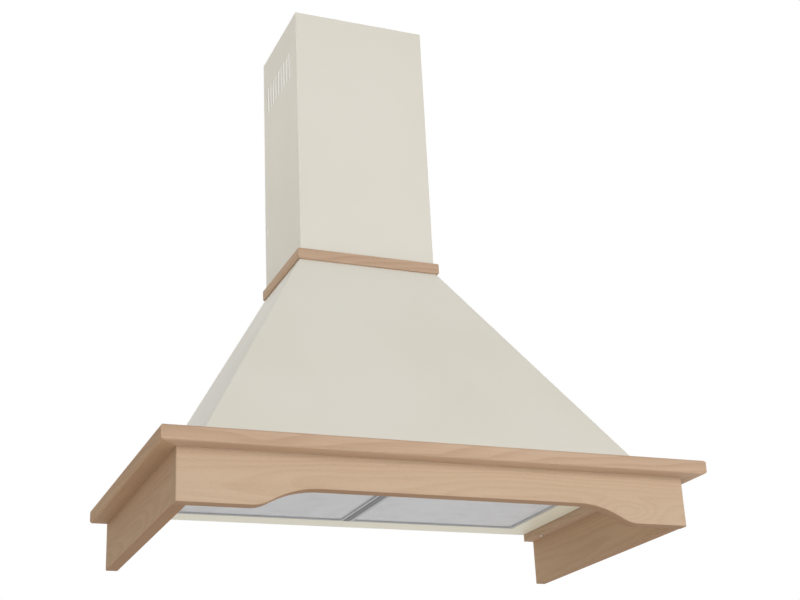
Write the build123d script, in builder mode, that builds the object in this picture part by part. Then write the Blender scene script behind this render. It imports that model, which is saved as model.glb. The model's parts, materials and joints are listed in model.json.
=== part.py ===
"""Wall chimney cooker hood with a wooden portal, modelled piece by piece in millimetres.

X runs to the right, Y towards the wall and Z up. The origin lies on the wall, in the
middle of the width, level with the top face of the wooden cornice.
"""

import os
from math import cos, hypot, radians, sin

from build123d import *

os.makedirs("parts", exist_ok=True)

SIDES = ((-1, "left"), (1, "right"))

# ---------------------------------------------------------------- driving dimensions

# Clearances shared by the fits
hang_gap = 0.3  # between bodies that move on each other
running_gap = 0.05  # radial, shaft in bearing
screw_gap = 0.25  # radial, screw shank in its hole

# Cornice: three mitred boards that lie flat round the foot of the canopy
cornice_width = 1000.0
cornice_depth = 584.0
cornice_thick = 25.0
cornice_board = 76.0
cornice_round = 5.0

# Apron: boards that hang under the cornice, the front one with a shallow arch
apron_side_inset = 32.75
apron_front_inset = 35.5
apron_thick = 22.0
apron_drop = 89.5
apron_round = 2.5
arch_offset = 12.5  # to the right of the board's middle
arch_rise = 31.5
arch_foot_inset = 126.25
arch_shoulder = 60.5
arch_foot_radius = 60.0
arch_head_radius = 170.0

# Canopy: a sheet steel pyramid with an upright back, its foot just inside the cornice
sheet = 1.0
bend_radius = 2.0  # outer, on the folded sheet corners
canopy_side_inset = 2.5
canopy_front_inset = 5.0
canopy_rise = 468.0
canopy_top_width = 295.5
canopy_top_depth = 234.0
canopy_lip = 15.0
canopy_top_flange = 20.0

# Base frame: flat steel ring that lies on the cornice and carries the canopy
base_frame_thick = 1.5
base_frame_outer = 20.0
base_frame_inner = 22.0

# Back plate
back_sheet = 1.2
hang_hole = 9.0
hang_spacing = 300.0
hang_height = 330.0
secure_hole = 6.0
secure_spacing = 500.0
secure_height = 60.0

# Base panel: painted tray that closes the canopy from below
panel_drop = 11.0
panel_edge_gap = 1.2
panel_return = 16.0
panel_side_strip = 51.8
panel_rear_strip = 49.8
panel_front_strip = 135.8
panel_stiffener = 8.0

# Rail between the filters
rail_width = 10.0
rail_sheet = 1.5
rail_height = 9.0
rail_tongue = 12.0

# Grease filters
filter_gap = 1.5
filter_thick = 9.0
filter_skin = 1.2
filter_lip = 6.5
mesh_gap = 0.3
filter_tab_width = 24.0
filter_tab_reach = 8.0
filter_tab_offset = 110.0

# Filter latches
latch_seat_width = 52.0
latch_seat_depth = 38.0
latch_seat_wall = 1.5
latch_bolt_width = 18.0
latch_bolt_thick = 2.0
latch_bolt_reach = 6.0
latch_travel = 7.0
latch_block_width = 30.0
latch_block_depth = 14.0
latch_stem_width = 10.0
latch_stem_depth = 5.0
latch_stem_inset = 12.0
latch_pad_width = 24.0
latch_pad_depth = 12.0
latch_pad_thick = 3.0

# Chimney cover, a little inside the canopy's top
chimney_side_inset = 3.4
chimney_front_inset = 3.1
chimney_height = 575.3
chimney_foot_flange = 12.0
vent_count = 9
vent_pitch = 18.6
vent_width = 6.5
vent_height = 63.0
vent_front_margin = 52.1
vent_below_top = 102.1
fixing_slot_width = 6.0
fixing_slot_height = 23.0
fixing_slot_depth = 12.0
fixing_slot_rise = 155.0

# Wooden trim at the foot of the chimney
trim_height = 22.6
trim_overhang = 7.5
trim_gap = 0.3
trim_round = 2.0

# Screws
screw_radius = 2.0
screw_head_radius = 4.0
screw_head_height = 2.5
screw_head_bevel = 0.6
portal_screw_inset = 11.0
portal_screw_tip = 6.0
portal_rear_station = 61.5
portal_corner_inset = 104.0
portal_middle_share = 0.62
portal_front_half = 250.0
plate_screw_length = 10.0
foot_screw_inset = 30.0

# Top plate and duct
top_plate_thick = 1.5
top_plate_margin = 2.0
duct_radius = 74.5
duct_hole_gap = 1.5
collar_wall = 2.5
collar_height = 62.0
collar_flange_radius = 88.0
collar_flange_thick = 2.5
collar_screw_circle = 81.0
collar_screw_count = 4
collar_screw_turn = 45.0

# Non-return flaps
flap_axis_rise = 20.0
flap_rod_radius = 2.0
flap_thick = 1.2
flap_edge_gap = 1.5
flap_knuckle_radius = 4.0
flap_knuckle_length = 14.0
flap_knuckle_inner = 22.0
flap_knuckle_outer = 42.0
flap_lip = 3.0
flap_lip_thick = 2.0
rod_seat = 1.4
rod_end_gap = 0.3

# Blower housing: a volute of three quarter arcs
volute_radius = 82.0
volute_step = 15.0
volute_wall = 2.0
volute_half_width = 65.0
volute_side_thick = 1.5
volute_tongue_angle = 60.0
fan_height = 345.0
blower_flange_half = 77.0
blower_flange_depth = 146.0
blower_flange_thick = 2.0
blower_screw_inset = 6.0

# Inlet rings
throat_radius = 50.0
bell_radius = 6.0
bell_sheet = 1.5
throat_length = 2.5
inlet_flange_radius = 66.0

# Impeller: a disc between two rows of blades, with a ring round each end
impeller_half_width = 56.0
impeller_radius = 65.0
impeller_eye = 53.0
impeller_ring_thick = 3.0
blade_count = 30
blade_thick = 0.8
blade_bend = 9.0
blade_bend_out = 55.5
blade_start_angle = -105.0
blade_end_angle = -25.0
disc_thick = 2.5
disc_place = 14.0
hub_radius = 9.0
hub_length = 22.0

# Motor
motor_radius = 38.0
motor_nose_radius = 14.0
motor_nose_length = 5.0
motor_front = 1.0
motor_edge = 3.0
shaft_radius = 4.0
shaft_chamfer = 0.5
shaft_inside = 26.0
bracket_thick = 1.5
bracket_hub_radius = 41.0
bracket_hole_radius = 16.0
bracket_arm_width = 12.0
bracket_arm_reach = 76.0
bracket_foot = 8.0
bracket_arms = 3
capacitor_radius = 14.0
capacitor_length = 45.0
capacitor_behind = 60.0
capacitor_below = 72.0

# Mains connection
terminal_gap = 3.0
terminal_depth = 45.0
terminal_box_width = 46.0
terminal_box_depth = 60.0
terminal_box_height = 30.0
terminal_wall = 2.0
terminal_round = 3.0
gland_thread_radius = 8.0
gland_bore_radius = 4.5
gland_hex = 24.0
gland_hex_height = 5.0
gland_dome_radius = 10.5
gland_dome_height = 15.0
gland_dome_round = 3.5
gland_thread_length = 12.0

# Lamps in the front strip of the base panel
lamp_offset = 250.0
lamp_neck_radius = 30.0
lamp_flange_radius = 34.0
lamp_bore_radius = 27.0
lamp_window_radius = 24.0
lamp_flange_thick = 2.0
lamp_rim_thick = 1.0
lamp_neck_height = 9.0
lamp_lens_thick = 2.0
lamp_board_thick = 4.0
lamp_can_radius = 34.0
lamp_can_height = 30.0
lamp_gap = 0.2

# Controls in the middle of the front strip
control_plate_width = 120.0
control_plate_depth = 34.0
control_plate_thick = 2.0
control_cut_width = 104.0
control_cut_depth = 22.0
control_box_height = 16.0
control_box_wall = 1.5
control_box_margin = 1.5
knob_width = 12.0
knob_depth = 10.0
knob_height = 8.0
knob_taper = 8.0
knob_stem = 4.0
carriage_width = 18.0
carriage_depth = 14.0
carriage_thick = 3.0
speed_place = -40.0
speed_travel = 24.0
light_place = 24.0
light_travel = 8.0

# ---------------------------------------------------------------- worked-out dimensions

canopy_width = cornice_width - 2 * (cornice_board + canopy_side_inset)
canopy_depth = cornice_depth - cornice_board - canopy_front_inset
canopy_side_run = (canopy_width - canopy_top_width) / 2
canopy_front_run = canopy_depth - canopy_top_depth
skin_side = sheet * hypot(canopy_side_run, canopy_rise) / canopy_rise
skin_front = sheet * hypot(canopy_front_run, canopy_rise) / canopy_rise

panel_under = -panel_drop
panel_top = panel_under + sheet
panel_half = cornice_width / 2 - cornice_board - panel_edge_gap
panel_front = -(cornice_depth - cornice_board - panel_edge_gap)
panel_rear = -back_sheet
filter_field_half = panel_half - panel_side_strip
filter_field_rear = panel_rear_strip - panel_rear
filter_field_front = -panel_front - panel_front_strip
strip_depth = -panel_front - panel_front_strip / 2

apron_width = cornice_width - 2 * apron_side_inset
apron_front = -(cornice_depth - apron_front_inset)
apron_under = -cornice_thick - apron_drop
arch_foot_half = apron_width / 2 - arch_foot_inset
arch_head_half = arch_foot_half - arch_shoulder

chimney_width = canopy_top_width - 2 * chimney_side_inset
chimney_depth = canopy_top_depth - chimney_front_inset
chimney_top = canopy_rise + chimney_height
vent_centre_depth = chimney_depth - vent_front_margin - vent_pitch * (vent_count - 1) / 2
plate_top = canopy_rise - sheet
plate_under = plate_top - top_plate_thick
duct_depth = -canopy_top_depth / 2
flap_axis_height = plate_top + flap_axis_rise
collar_bore = duct_radius - collar_wall
terminal_place = (blower_flange_half + terminal_gap + terminal_box_width / 2, -terminal_depth)

volute_half_step = volute_step / 2
volute_end_radius = volute_radius + 2 * volute_step
outlet_front = -volute_half_step + volute_radius * cos(radians(volute_tongue_angle))
outlet_rear = volute_half_step + volute_end_radius
fan_depth = duct_depth - (outlet_front + outlet_rear) / 2
blower_top = plate_under - blower_flange_thick
volute_side_outer = volute_half_width + volute_side_thick
bell_centre = volute_side_outer - bell_radius
bell_centre_radius = throat_radius + bell_sheet + bell_radius
inlet_face = volute_side_outer + bell_sheet

fan_axis = Axis((0, fan_depth, fan_height), (1, 0, 0))
fan_plane = Plane(origin=(0, fan_depth, fan_height), x_dir=(0, 1, 0), z_dir=(1, 0, 0))
fan_section = Plane(origin=(0, fan_depth, fan_height), x_dir=(1, 0, 0), z_dir=(0, -1, 0))

filter_inner = rail_width / 2 + filter_gap
filter_outer = filter_field_half - filter_gap
filter_width = filter_outer - filter_inner
filter_centre = (filter_inner + filter_outer) / 2
filter_rear = -(filter_field_rear + filter_gap)
filter_front = -(filter_field_front - filter_gap)
filter_length = filter_rear - filter_front
filter_middle = (filter_rear + filter_front) / 2
filter_top = panel_under + filter_thick
tab_under = panel_top + hang_gap

latch_seat_front = filter_front + filter_skin
latch_seat_under = panel_under + filter_skin
latch_seat_top = filter_top - filter_skin
latch_nose_under = latch_seat_under + hang_gap
latch_block_under = latch_seat_under + latch_seat_wall + hang_gap
latch_bolt_top = latch_block_under + latch_bolt_thick
latch_stem_front = latch_seat_front + latch_stem_inset
latch_tip = -filter_field_front - latch_bolt_reach


def canopy_half(height):
    """Half of the canopy's outer width at a height."""
    return canopy_width / 2 - canopy_side_run * height / canopy_rise


def canopy_reach(height):
    """Distance of the canopy's outer front face from the wall at a height."""
    return canopy_depth - canopy_front_run * height / canopy_rise


def write_part(builder, label):
    """Label a finished piece and write its own file."""
    builder.part.label = label
    export_step(builder.part, f"parts/{label}.step")


def outermost(section, side):
    """Corners of a section that lie furthest out on one side."""
    return section.vertices().group_by(Axis.X, reverse=side > 0)[0]


def mitre_plane(side, half_width, depth):
    """Upright plane at 45 degrees through the front corner of a three-sided frame."""
    return Plane(origin=(side * half_width, -depth, 0), x_dir=(side, -1, 0), z_dir=(side, 1, 0))


# ---------------------------------------------------------------- screw places

portal_side_x = cornice_width / 2 - cornice_board + portal_screw_inset
portal_front_y = -(cornice_depth - cornice_board + portal_screw_inset)
portal_last_station = cornice_depth - portal_corner_inset
portal_side_run = portal_last_station - portal_rear_station
portal_middle_station = portal_rear_station + portal_middle_share * portal_side_run
portal_side_stations = (portal_rear_station, portal_middle_station, portal_last_station)
portal_places = [(side * portal_side_x, -y) for side, _ in SIDES for y in portal_side_stations]
portal_places += [(side * portal_front_half, portal_front_y) for side, _ in SIDES]

foot_screw_x = chimney_width / 2 - sheet - chimney_foot_flange / 2
foot_screw_stations = (foot_screw_inset, chimney_depth - foot_screw_inset)
foot_screw_places = [(side * foot_screw_x, -y) for side, _ in SIDES for y in foot_screw_stations]

blower_screw_x = blower_flange_half - blower_screw_inset
blower_screw_y = blower_flange_depth / 2 - blower_screw_inset
blower_screw_places = [
    (side * blower_screw_x, duct_depth + turn * blower_screw_y) for side, _ in SIDES for turn in (-1, 1)
]

collar_screw_angles = [
    radians(collar_screw_turn + 360.0 * place / collar_screw_count) for place in range(collar_screw_count)
]
collar_screw_places = [
    (collar_screw_circle * cos(turn), duct_depth + collar_screw_circle * sin(turn))
    for turn in collar_screw_angles
]

# ---------------------------------------------------------------- wooden cornice

with BuildPart() as cornice_front:
    with BuildSketch(Plane.YZ.offset(-cornice_width / 2)) as board_section:
        with Locations((cornice_board / 2 - cornice_depth, -cornice_thick / 2)):
            Rectangle(cornice_board, cornice_thick)
        fillet(board_section.vertices().group_by(Axis.X)[0], radius=cornice_round)
    extrude(amount=cornice_width)
    for side, _ in SIDES:
        split(bisect_by=mitre_plane(side, cornice_width / 2, cornice_depth), keep=Keep.BOTTOM)
    with Locations(*[(x, y, -cornice_thick / 2) for x, y in portal_places]):
        Cylinder(screw_radius + screw_gap, cornice_thick, mode=Mode.SUBTRACT)
write_part(cornice_front, "cornice_front")

for side, side_name in SIDES:
    with BuildPart() as cornice_side:
        with BuildSketch(Plane.XZ) as board_section:
            with Locations((side * (cornice_width - cornice_board) / 2, -cornice_thick / 2)):
                Rectangle(cornice_board, cornice_thick)
            fillet(outermost(board_section, side), radius=cornice_round)
        extrude(amount=cornice_depth)
        split(bisect_by=mitre_plane(side, cornice_width / 2, cornice_depth), keep=Keep.TOP)
        with Locations(*[(x, y, -cornice_thick / 2) for x, y in portal_places]):
            Cylinder(screw_radius + screw_gap, cornice_thick, mode=Mode.SUBTRACT)
    write_part(cornice_side, f"cornice_{side_name}")

# ---------------------------------------------------------------- wooden apron

with BuildPart() as apron_front_board:
    with BuildSketch(Plane.XZ.offset(-apron_front - apron_thick)) as arch_outline:
        with BuildLine():
            Polyline(
                (-apron_width / 2, -cornice_thick),
                (apron_width / 2, -cornice_thick),
                (apron_width / 2, apron_under),
                (arch_offset + arch_foot_half, apron_under),
                (arch_offset + arch_head_half, apron_under + arch_rise),
                (arch_offset - arch_head_half, apron_under + arch_rise),
                (arch_offset - arch_foot_half, apron_under),
                (-apron_width / 2, apron_under),
                close=True,
            )
        make_face()
        fillet(arch_outline.vertices().group_by(Axis.Y)[1], radius=arch_head_radius)
        fillet(arch_outline.vertices().group_by(Axis.Y)[0].sort_by(Axis.X)[1:3], radius=arch_foot_radius)
    extrude(amount=apron_thick)
    face_edges = apron_front_board.faces().sort_by(Axis.Y)[0].edges()
    fillet(face_edges.sort_by(Axis.Z)[:-1], radius=apron_round)
write_part(apron_front_board, "apron_front")

for side, side_name in SIDES:
    with BuildPart() as apron_side:
        with BuildSketch(Plane.XZ) as apron_section:
            with Locations((side * (apron_width - apron_thick) / 2, -cornice_thick - apron_drop / 2)):
                Rectangle(apron_thick, apron_drop)
            fillet(outermost(apron_section, side).sort_by(Axis.Y)[0], radius=apron_round)
        extrude(amount=-apron_front - apron_thick)
    write_part(apron_side, f"apron_{side_name}")

# ---------------------------------------------------------------- base frame and canopy

with BuildPart() as base_frame:
    with BuildSketch():
        with Locations((0, -back_sheet)):
            Rectangle(
                canopy_width + 2 * base_frame_outer,
                canopy_depth + base_frame_outer - back_sheet,
                align=(Align.CENTER, Align.MAX),
            )
        with Locations((0, -back_sheet - base_frame_inner)):
            Rectangle(
                canopy_width - 2 * base_frame_inner,
                canopy_depth - 2 * base_frame_inner - back_sheet,
                align=(Align.CENTER, Align.MAX),
                mode=Mode.SUBTRACT,
            )
        with Locations(*portal_places):
            Circle(screw_radius + screw_gap, mode=Mode.SUBTRACT)
    extrude(amount=base_frame_thick)
write_part(base_frame, "base_frame")

with BuildPart() as canopy_shell:
    for inset_side, inset_front, corner, mode in (
        (0, 0, bend_radius, Mode.ADD),
        (skin_side, skin_front, bend_radius - sheet, Mode.SUBTRACT),
    ):
        for height in (base_frame_thick, canopy_rise):
            with BuildSketch(Plane.XY.offset(height)) as canopy_section:
                with Locations((0, -back_sheet)):
                    Rectangle(
                        2 * (canopy_half(height) - inset_side),
                        canopy_reach(height) - inset_front - back_sheet,
                        align=(Align.CENTER, Align.MAX),
                    )
                fillet(canopy_section.vertices().group_by(Axis.Y)[0], radius=corner)
        loft(mode=mode)
    with BuildSketch(Plane.XY.offset(plate_top)) as top_flange:
        with Locations((0, -back_sheet)):
            Rectangle(canopy_top_width, canopy_top_depth - back_sheet, align=(Align.CENTER, Align.MAX))
        fillet(top_flange.vertices().group_by(Axis.Y)[0], radius=bend_radius)
        with Locations((0, -back_sheet - canopy_top_flange)):
            Rectangle(
                canopy_top_width - 2 * canopy_top_flange,
                canopy_top_depth - 2 * canopy_top_flange - back_sheet,
                align=(Align.CENTER, Align.MAX),
                mode=Mode.SUBTRACT,
            )
        with Locations(*foot_screw_places):
            Circle(screw_radius + screw_gap, mode=Mode.SUBTRACT)
    extrude(amount=sheet)
    with BuildSketch(Plane.XZ.offset(back_sheet)):
        for inset, mode in ((0, Mode.ADD), (canopy_lip, Mode.SUBTRACT)):
            with BuildLine():
                Polyline(
                    (inset - canopy_half(base_frame_thick), base_frame_thick),
                    (canopy_half(base_frame_thick) - inset, base_frame_thick),
                    (canopy_half(canopy_rise) - inset, canopy_rise),
                    (inset - canopy_half(canopy_rise), canopy_rise),
                    close=True,
                )
            make_face(mode=mode)
    extrude(amount=sheet)
write_part(canopy_shell, "canopy_shell")

with BuildPart() as back_plate:
    with BuildSketch(Plane.XZ) as back_outline:
        with BuildLine():
            Polyline(
                (-canopy_half(0), panel_under),
                (canopy_half(0), panel_under),
                (canopy_half(0), 0),
                (canopy_half(canopy_rise), canopy_rise),
                (-canopy_half(canopy_rise), canopy_rise),
                (-canopy_half(0), 0),
                close=True,
            )
        make_face()
        for spacing, height, diameter in (
            (hang_spacing, hang_height, hang_hole),
            (secure_spacing, secure_height, secure_hole),
        ):
            with Locations((-spacing / 2, height), (spacing / 2, height)):
                Circle(diameter / 2, mode=Mode.SUBTRACT)
    extrude(amount=back_sheet)
write_part(back_plate, "back_plate")

# ---------------------------------------------------------------- base panel and filter rail

with BuildPart() as base_panel:
    with BuildSketch(Plane.XY.offset(panel_under)) as panel_outline:
        with Locations((0, panel_rear)):
            Rectangle(2 * panel_half, panel_rear - panel_front, align=(Align.CENTER, Align.MAX))
    extrude(amount=sheet)
    tray = panel_outline.sketch
    with BuildSketch(Plane.XY.offset(panel_under)):
        add(tray)
        offset(tray, amount=-sheet, kind=Kind.INTERSECTION, mode=Mode.SUBTRACT)
    extrude(amount=panel_drop)
    with BuildSketch(Plane.XY.offset(-sheet)):
        add(tray)
        offset(tray, amount=-panel_return, kind=Kind.INTERSECTION, mode=Mode.SUBTRACT)
    extrude(amount=sheet)
    with BuildSketch(Plane.XY.offset(panel_top)):
        with Locations((0, -filter_field_rear)):
            Rectangle(
                2 * (filter_field_half + sheet),
                filter_field_front - filter_field_rear,
                align=(Align.CENTER, Align.MAX),
            )
    extrude(amount=panel_stiffener)
    with BuildSketch(Plane.XY.offset(panel_under)):
        with Locations((0, -filter_field_rear)):
            Rectangle(
                2 * filter_field_half,
                filter_field_front - filter_field_rear,
                align=(Align.CENTER, Align.MAX),
            )
        with Locations((0, -strip_depth)):
            Rectangle(control_cut_width, control_cut_depth)
        with Locations((-lamp_offset, -strip_depth), (lamp_offset, -strip_depth)):
            Circle(lamp_neck_radius + hang_gap)
    extrude(amount=sheet + panel_stiffener, mode=Mode.SUBTRACT)
write_part(base_panel, "base_panel")

with BuildPart() as filter_rail:
    with BuildSketch(Plane.XZ.offset(filter_field_rear)) as rail_section:
        with Locations((0, panel_under)):
            Rectangle(rail_width, rail_height, align=(Align.CENTER, Align.MIN))
        with Locations((0, panel_under + rail_sheet)):
            Rectangle(
                rail_width - 2 * rail_sheet,
                rail_height,
                align=(Align.CENTER, Align.MIN),
                mode=Mode.SUBTRACT,
            )
    extrude(amount=filter_field_front - filter_field_rear)
    for end in (-filter_field_rear, -filter_field_front):
        with BuildSketch(Plane.XY.offset(panel_top)):
            with Locations((0, end)):
                Rectangle(rail_width - 2 * rail_sheet, 2 * rail_tongue)
        extrude(amount=rail_sheet)
write_part(filter_rail, "filter_rail")

# ---------------------------------------------------------------- grease filters

for side, side_name in SIDES:
    centre = side * filter_centre

    with BuildPart() as filter_frame:
        with BuildSketch(Plane.XY.offset(panel_under)):
            with Locations((centre, filter_middle)):
                Rectangle(filter_width, filter_length)
                Rectangle(
                    filter_width - 2 * filter_lip,
                    filter_length - 2 * filter_lip,
                    mode=Mode.SUBTRACT,
                )
        extrude(amount=filter_thick)
        with BuildSketch(Plane.XY.offset(panel_under + filter_skin)):
            with Locations((centre, filter_middle)):
                Rectangle(filter_width - 2 * filter_skin, filter_length - 2 * filter_skin)
        extrude(amount=filter_thick - 2 * filter_skin, mode=Mode.SUBTRACT)
        with BuildSketch(Plane.XY.offset(tab_under)):
            with Locations(
                (centre - filter_tab_offset, filter_rear - filter_skin),
                (centre + filter_tab_offset, filter_rear - filter_skin),
            ):
                Rectangle(
                    filter_tab_width,
                    filter_skin + filter_gap + filter_tab_reach,
                    align=(Align.CENTER, Align.MIN),
                )
        extrude(amount=filter_skin)
        with BuildSketch(Plane.XY.offset(latch_seat_under)):
            with Locations((centre, filter_front)):
                Rectangle(latch_bolt_width + 2 * hang_gap, 2 * filter_skin)
        extrude(amount=latch_bolt_top + hang_gap - latch_seat_under, mode=Mode.SUBTRACT)
    write_part(filter_frame, f"filter_frame_{side_name}")

    with BuildPart() as filter_mesh:
        with BuildSketch(Plane.XY.offset(latch_seat_under)):
            with Locations((centre, filter_middle)):
                Rectangle(
                    filter_width - 2 * filter_skin - 2 * mesh_gap,
                    filter_length - 2 * filter_skin - 2 * mesh_gap,
                )
            with Locations((centre, filter_front)):
                Rectangle(
                    latch_seat_width + 2 * mesh_gap,
                    filter_skin + latch_seat_depth + mesh_gap,
                    align=(Align.CENTER, Align.MIN),
                    mode=Mode.SUBTRACT,
                )
        extrude(amount=latch_seat_top - latch_seat_under)
    write_part(filter_mesh, f"filter_mesh_{side_name}")

    with BuildPart() as latch_seat:
        with BuildSketch(Plane.XY.offset(latch_seat_under)) as seat_outline:
            with Locations((centre, latch_seat_front)):
                Rectangle(latch_seat_width, latch_seat_depth, align=(Align.CENTER, Align.MIN))
            fillet(seat_outline.vertices().group_by(Axis.Y)[1], radius=latch_seat_wall)
        extrude(amount=latch_seat_top - latch_seat_under)
        with BuildSketch(Plane.XY.offset(latch_seat_under + latch_seat_wall)):
            with Locations((centre, latch_seat_front)):
                Rectangle(
                    latch_seat_width - 2 * latch_seat_wall,
                    latch_seat_depth - latch_seat_wall,
                    align=(Align.CENTER, Align.MIN),
                )
        extrude(amount=latch_seat_top - latch_seat_under, mode=Mode.SUBTRACT)
        with BuildSketch(Plane.XY.offset(latch_seat_under)):
            with Locations((centre, latch_stem_front - hang_gap)):
                Rectangle(
                    latch_stem_width + 2 * hang_gap,
                    latch_stem_depth + latch_travel + 2 * hang_gap,
                    align=(Align.CENTER, Align.MIN),
                )
            with Locations((centre, latch_seat_front)):
                Rectangle(
                    latch_bolt_width + 2 * hang_gap,
                    latch_travel - filter_skin + hang_gap,
                    align=(Align.CENTER, Align.MIN),
                )
        extrude(amount=latch_seat_wall, mode=Mode.SUBTRACT)
    write_part(latch_seat, f"latch_seat_{side_name}")

    with BuildPart() as filter_latch:
        with BuildSketch(Plane.XY.offset(latch_block_under)):
            with Locations((centre, latch_stem_front + latch_stem_depth / 2)):
                Rectangle(latch_block_width, latch_block_depth)
        extrude(amount=latch_seat_top - latch_block_under - hang_gap)
        with BuildSketch(Plane.XY.offset(latch_block_under)):
            with Locations((centre, latch_tip)):
                Rectangle(latch_bolt_width, latch_stem_front - latch_tip, align=(Align.CENTER, Align.MIN))
        extrude(amount=latch_bolt_thick)
        with BuildSketch(Plane.XY.offset(latch_nose_under)):
            with Locations((centre, latch_tip)):
                Rectangle(latch_bolt_width, filter_front - latch_tip, align=(Align.CENTER, Align.MIN))
        extrude(amount=latch_block_under - latch_nose_under)
        with BuildSketch(Plane.XY.offset(panel_under - hang_gap)):
            with Locations((centre, latch_stem_front)):
                Rectangle(latch_stem_width, latch_stem_depth, align=(Align.CENTER, Align.MIN))
        extrude(amount=latch_block_under - panel_under + hang_gap)
        with BuildSketch(Plane.XY.offset(panel_under - hang_gap - latch_pad_thick)) as pad_outline:
            with Locations((centre, latch_stem_front + latch_stem_depth / 2)):
                Rectangle(latch_pad_width, latch_pad_depth)
            fillet(pad_outline.vertices(), radius=latch_pad_thick)
        extrude(amount=latch_pad_thick)
    write_part(filter_latch, f"filter_latch_{side_name}")

# ---------------------------------------------------------------- chimney cover and trim

with BuildSketch() as chimney_outline:
    Rectangle(chimney_width, chimney_depth, align=(Align.CENTER, Align.MAX))
    fillet(chimney_outline.vertices().group_by(Axis.Y)[0], radius=bend_radius)

with BuildSketch() as chimney_inside:
    Rectangle(chimney_width - 2 * sheet, chimney_depth - sheet, align=(Align.CENTER, Align.MAX))
    fillet(chimney_inside.vertices().group_by(Axis.Y)[0], radius=bend_radius - sheet)

with BuildPart() as chimney_cover:
    with BuildSketch(Plane.XY.offset(canopy_rise)):
        add(chimney_outline.sketch_local)
        add(chimney_inside.sketch_local, mode=Mode.SUBTRACT)
    extrude(amount=chimney_height)
    with BuildSketch(Plane.XY.offset(canopy_rise)):
        add(chimney_outline.sketch_local)
        Rectangle(
            chimney_width - 2 * sheet - 2 * chimney_foot_flange,
            chimney_depth - sheet - chimney_foot_flange,
            align=(Align.CENTER, Align.MAX),
            mode=Mode.SUBTRACT,
        )
        with Locations(*foot_screw_places):
            Circle(screw_radius + screw_gap, mode=Mode.SUBTRACT)
    extrude(amount=sheet)
    with BuildSketch(Plane.YZ.offset(-chimney_width / 2)):
        with Locations((-vent_centre_depth, chimney_top - vent_below_top)):
            with GridLocations(vent_pitch, 0, vent_count, 1):
                SlotOverall(vent_height, vent_width, rotation=90)
        with Locations((-fixing_slot_depth, canopy_rise + fixing_slot_rise)):
            SlotOverall(fixing_slot_height, fixing_slot_width, rotation=90)
    extrude(amount=chimney_width, mode=Mode.SUBTRACT)
write_part(chimney_cover, "chimney_cover")

trim_half = chimney_width / 2 + trim_overhang
trim_front_depth = chimney_depth + trim_overhang
trim_thick = trim_overhang - trim_gap
trim_middle = canopy_rise + trim_height / 2

with BuildPart() as trim_front:
    with BuildSketch(Plane.YZ.offset(-trim_half)) as strip_section:
        with Locations((trim_thick / 2 - trim_front_depth, trim_middle)):
            Rectangle(trim_thick, trim_height)
        fillet(strip_section.vertices().group_by(Axis.X)[0], radius=trim_round)
    extrude(amount=2 * trim_half)
    for side, _ in SIDES:
        split(bisect_by=mitre_plane(side, trim_half, trim_front_depth), keep=Keep.BOTTOM)
write_part(trim_front, "trim_front")

for side, side_name in SIDES:
    with BuildPart() as trim_side:
        with BuildSketch(Plane.XZ) as strip_section:
            with Locations((side * (trim_half - trim_thick / 2), trim_middle)):
                Rectangle(trim_thick, trim_height)
            fillet(outermost(strip_section, side), radius=trim_round)
        extrude(amount=trim_front_depth)
        split(bisect_by=mitre_plane(side, trim_half, trim_front_depth), keep=Keep.TOP)
    write_part(trim_side, f"trim_{side_name}")

# ---------------------------------------------------------------- top plate, collar, flaps

with BuildPart() as top_plate:
    with BuildSketch(Plane.XY.offset(plate_under)):
        with Locations((0, -back_sheet - sheet - top_plate_margin)):
            Rectangle(
                canopy_top_width - 2 * top_plate_margin,
                canopy_top_depth - back_sheet - sheet - 2 * top_plate_margin,
                align=(Align.CENTER, Align.MAX),
            )
        with Locations((0, duct_depth)):
            Circle(duct_radius + duct_hole_gap, mode=Mode.SUBTRACT)
        with Locations(terminal_place):
            Circle(gland_thread_radius + hang_gap, mode=Mode.SUBTRACT)
        with Locations(*foot_screw_places, *blower_screw_places, *collar_screw_places):
            Circle(screw_radius + screw_gap, mode=Mode.SUBTRACT)
    extrude(amount=top_plate_thick)
write_part(top_plate, "top_plate")

with BuildPart() as outlet_collar:
    with BuildSketch(Plane.XY.offset(plate_top)):
        with Locations((0, duct_depth)):
            Circle(collar_flange_radius)
        with Locations(*collar_screw_places):
            Circle(screw_radius + screw_gap, mode=Mode.SUBTRACT)
    extrude(amount=collar_flange_thick)
    with BuildSketch(Plane.XY.offset(plate_top)):
        with Locations((0, duct_depth)):
            Circle(duct_radius)
    extrude(amount=collar_height)
    with BuildSketch(Plane.XY.offset(plate_top)):
        with Locations((0, duct_depth)):
            Circle(collar_bore)
    extrude(amount=collar_height, mode=Mode.SUBTRACT)
    lip_top = flap_axis_height - flap_thick / 2 - hang_gap
    with BuildSketch(Plane.XY.offset(lip_top - flap_lip_thick)):
        with Locations((0, duct_depth)):
            Circle(collar_bore)
            Circle(collar_bore - flap_lip, mode=Mode.SUBTRACT)
    extrude(amount=flap_lip_thick)
    with BuildSketch(Plane.XZ.offset(-duct_depth - collar_bore - rod_seat)):
        with Locations((0, flap_axis_height)):
            Circle(flap_rod_radius + running_gap)
    extrude(amount=2 * (collar_bore + rod_seat), mode=Mode.SUBTRACT)
write_part(outlet_collar, "outlet_collar")

with BuildPart() as flap_rod:
    with BuildSketch(Plane.XZ.offset(-duct_depth - collar_bore - rod_seat + rod_end_gap)):
        with Locations((0, flap_axis_height)):
            Circle(flap_rod_radius)
    extrude(amount=2 * (collar_bore + rod_seat - rod_end_gap))
write_part(flap_rod, "flap_rod")

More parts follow.
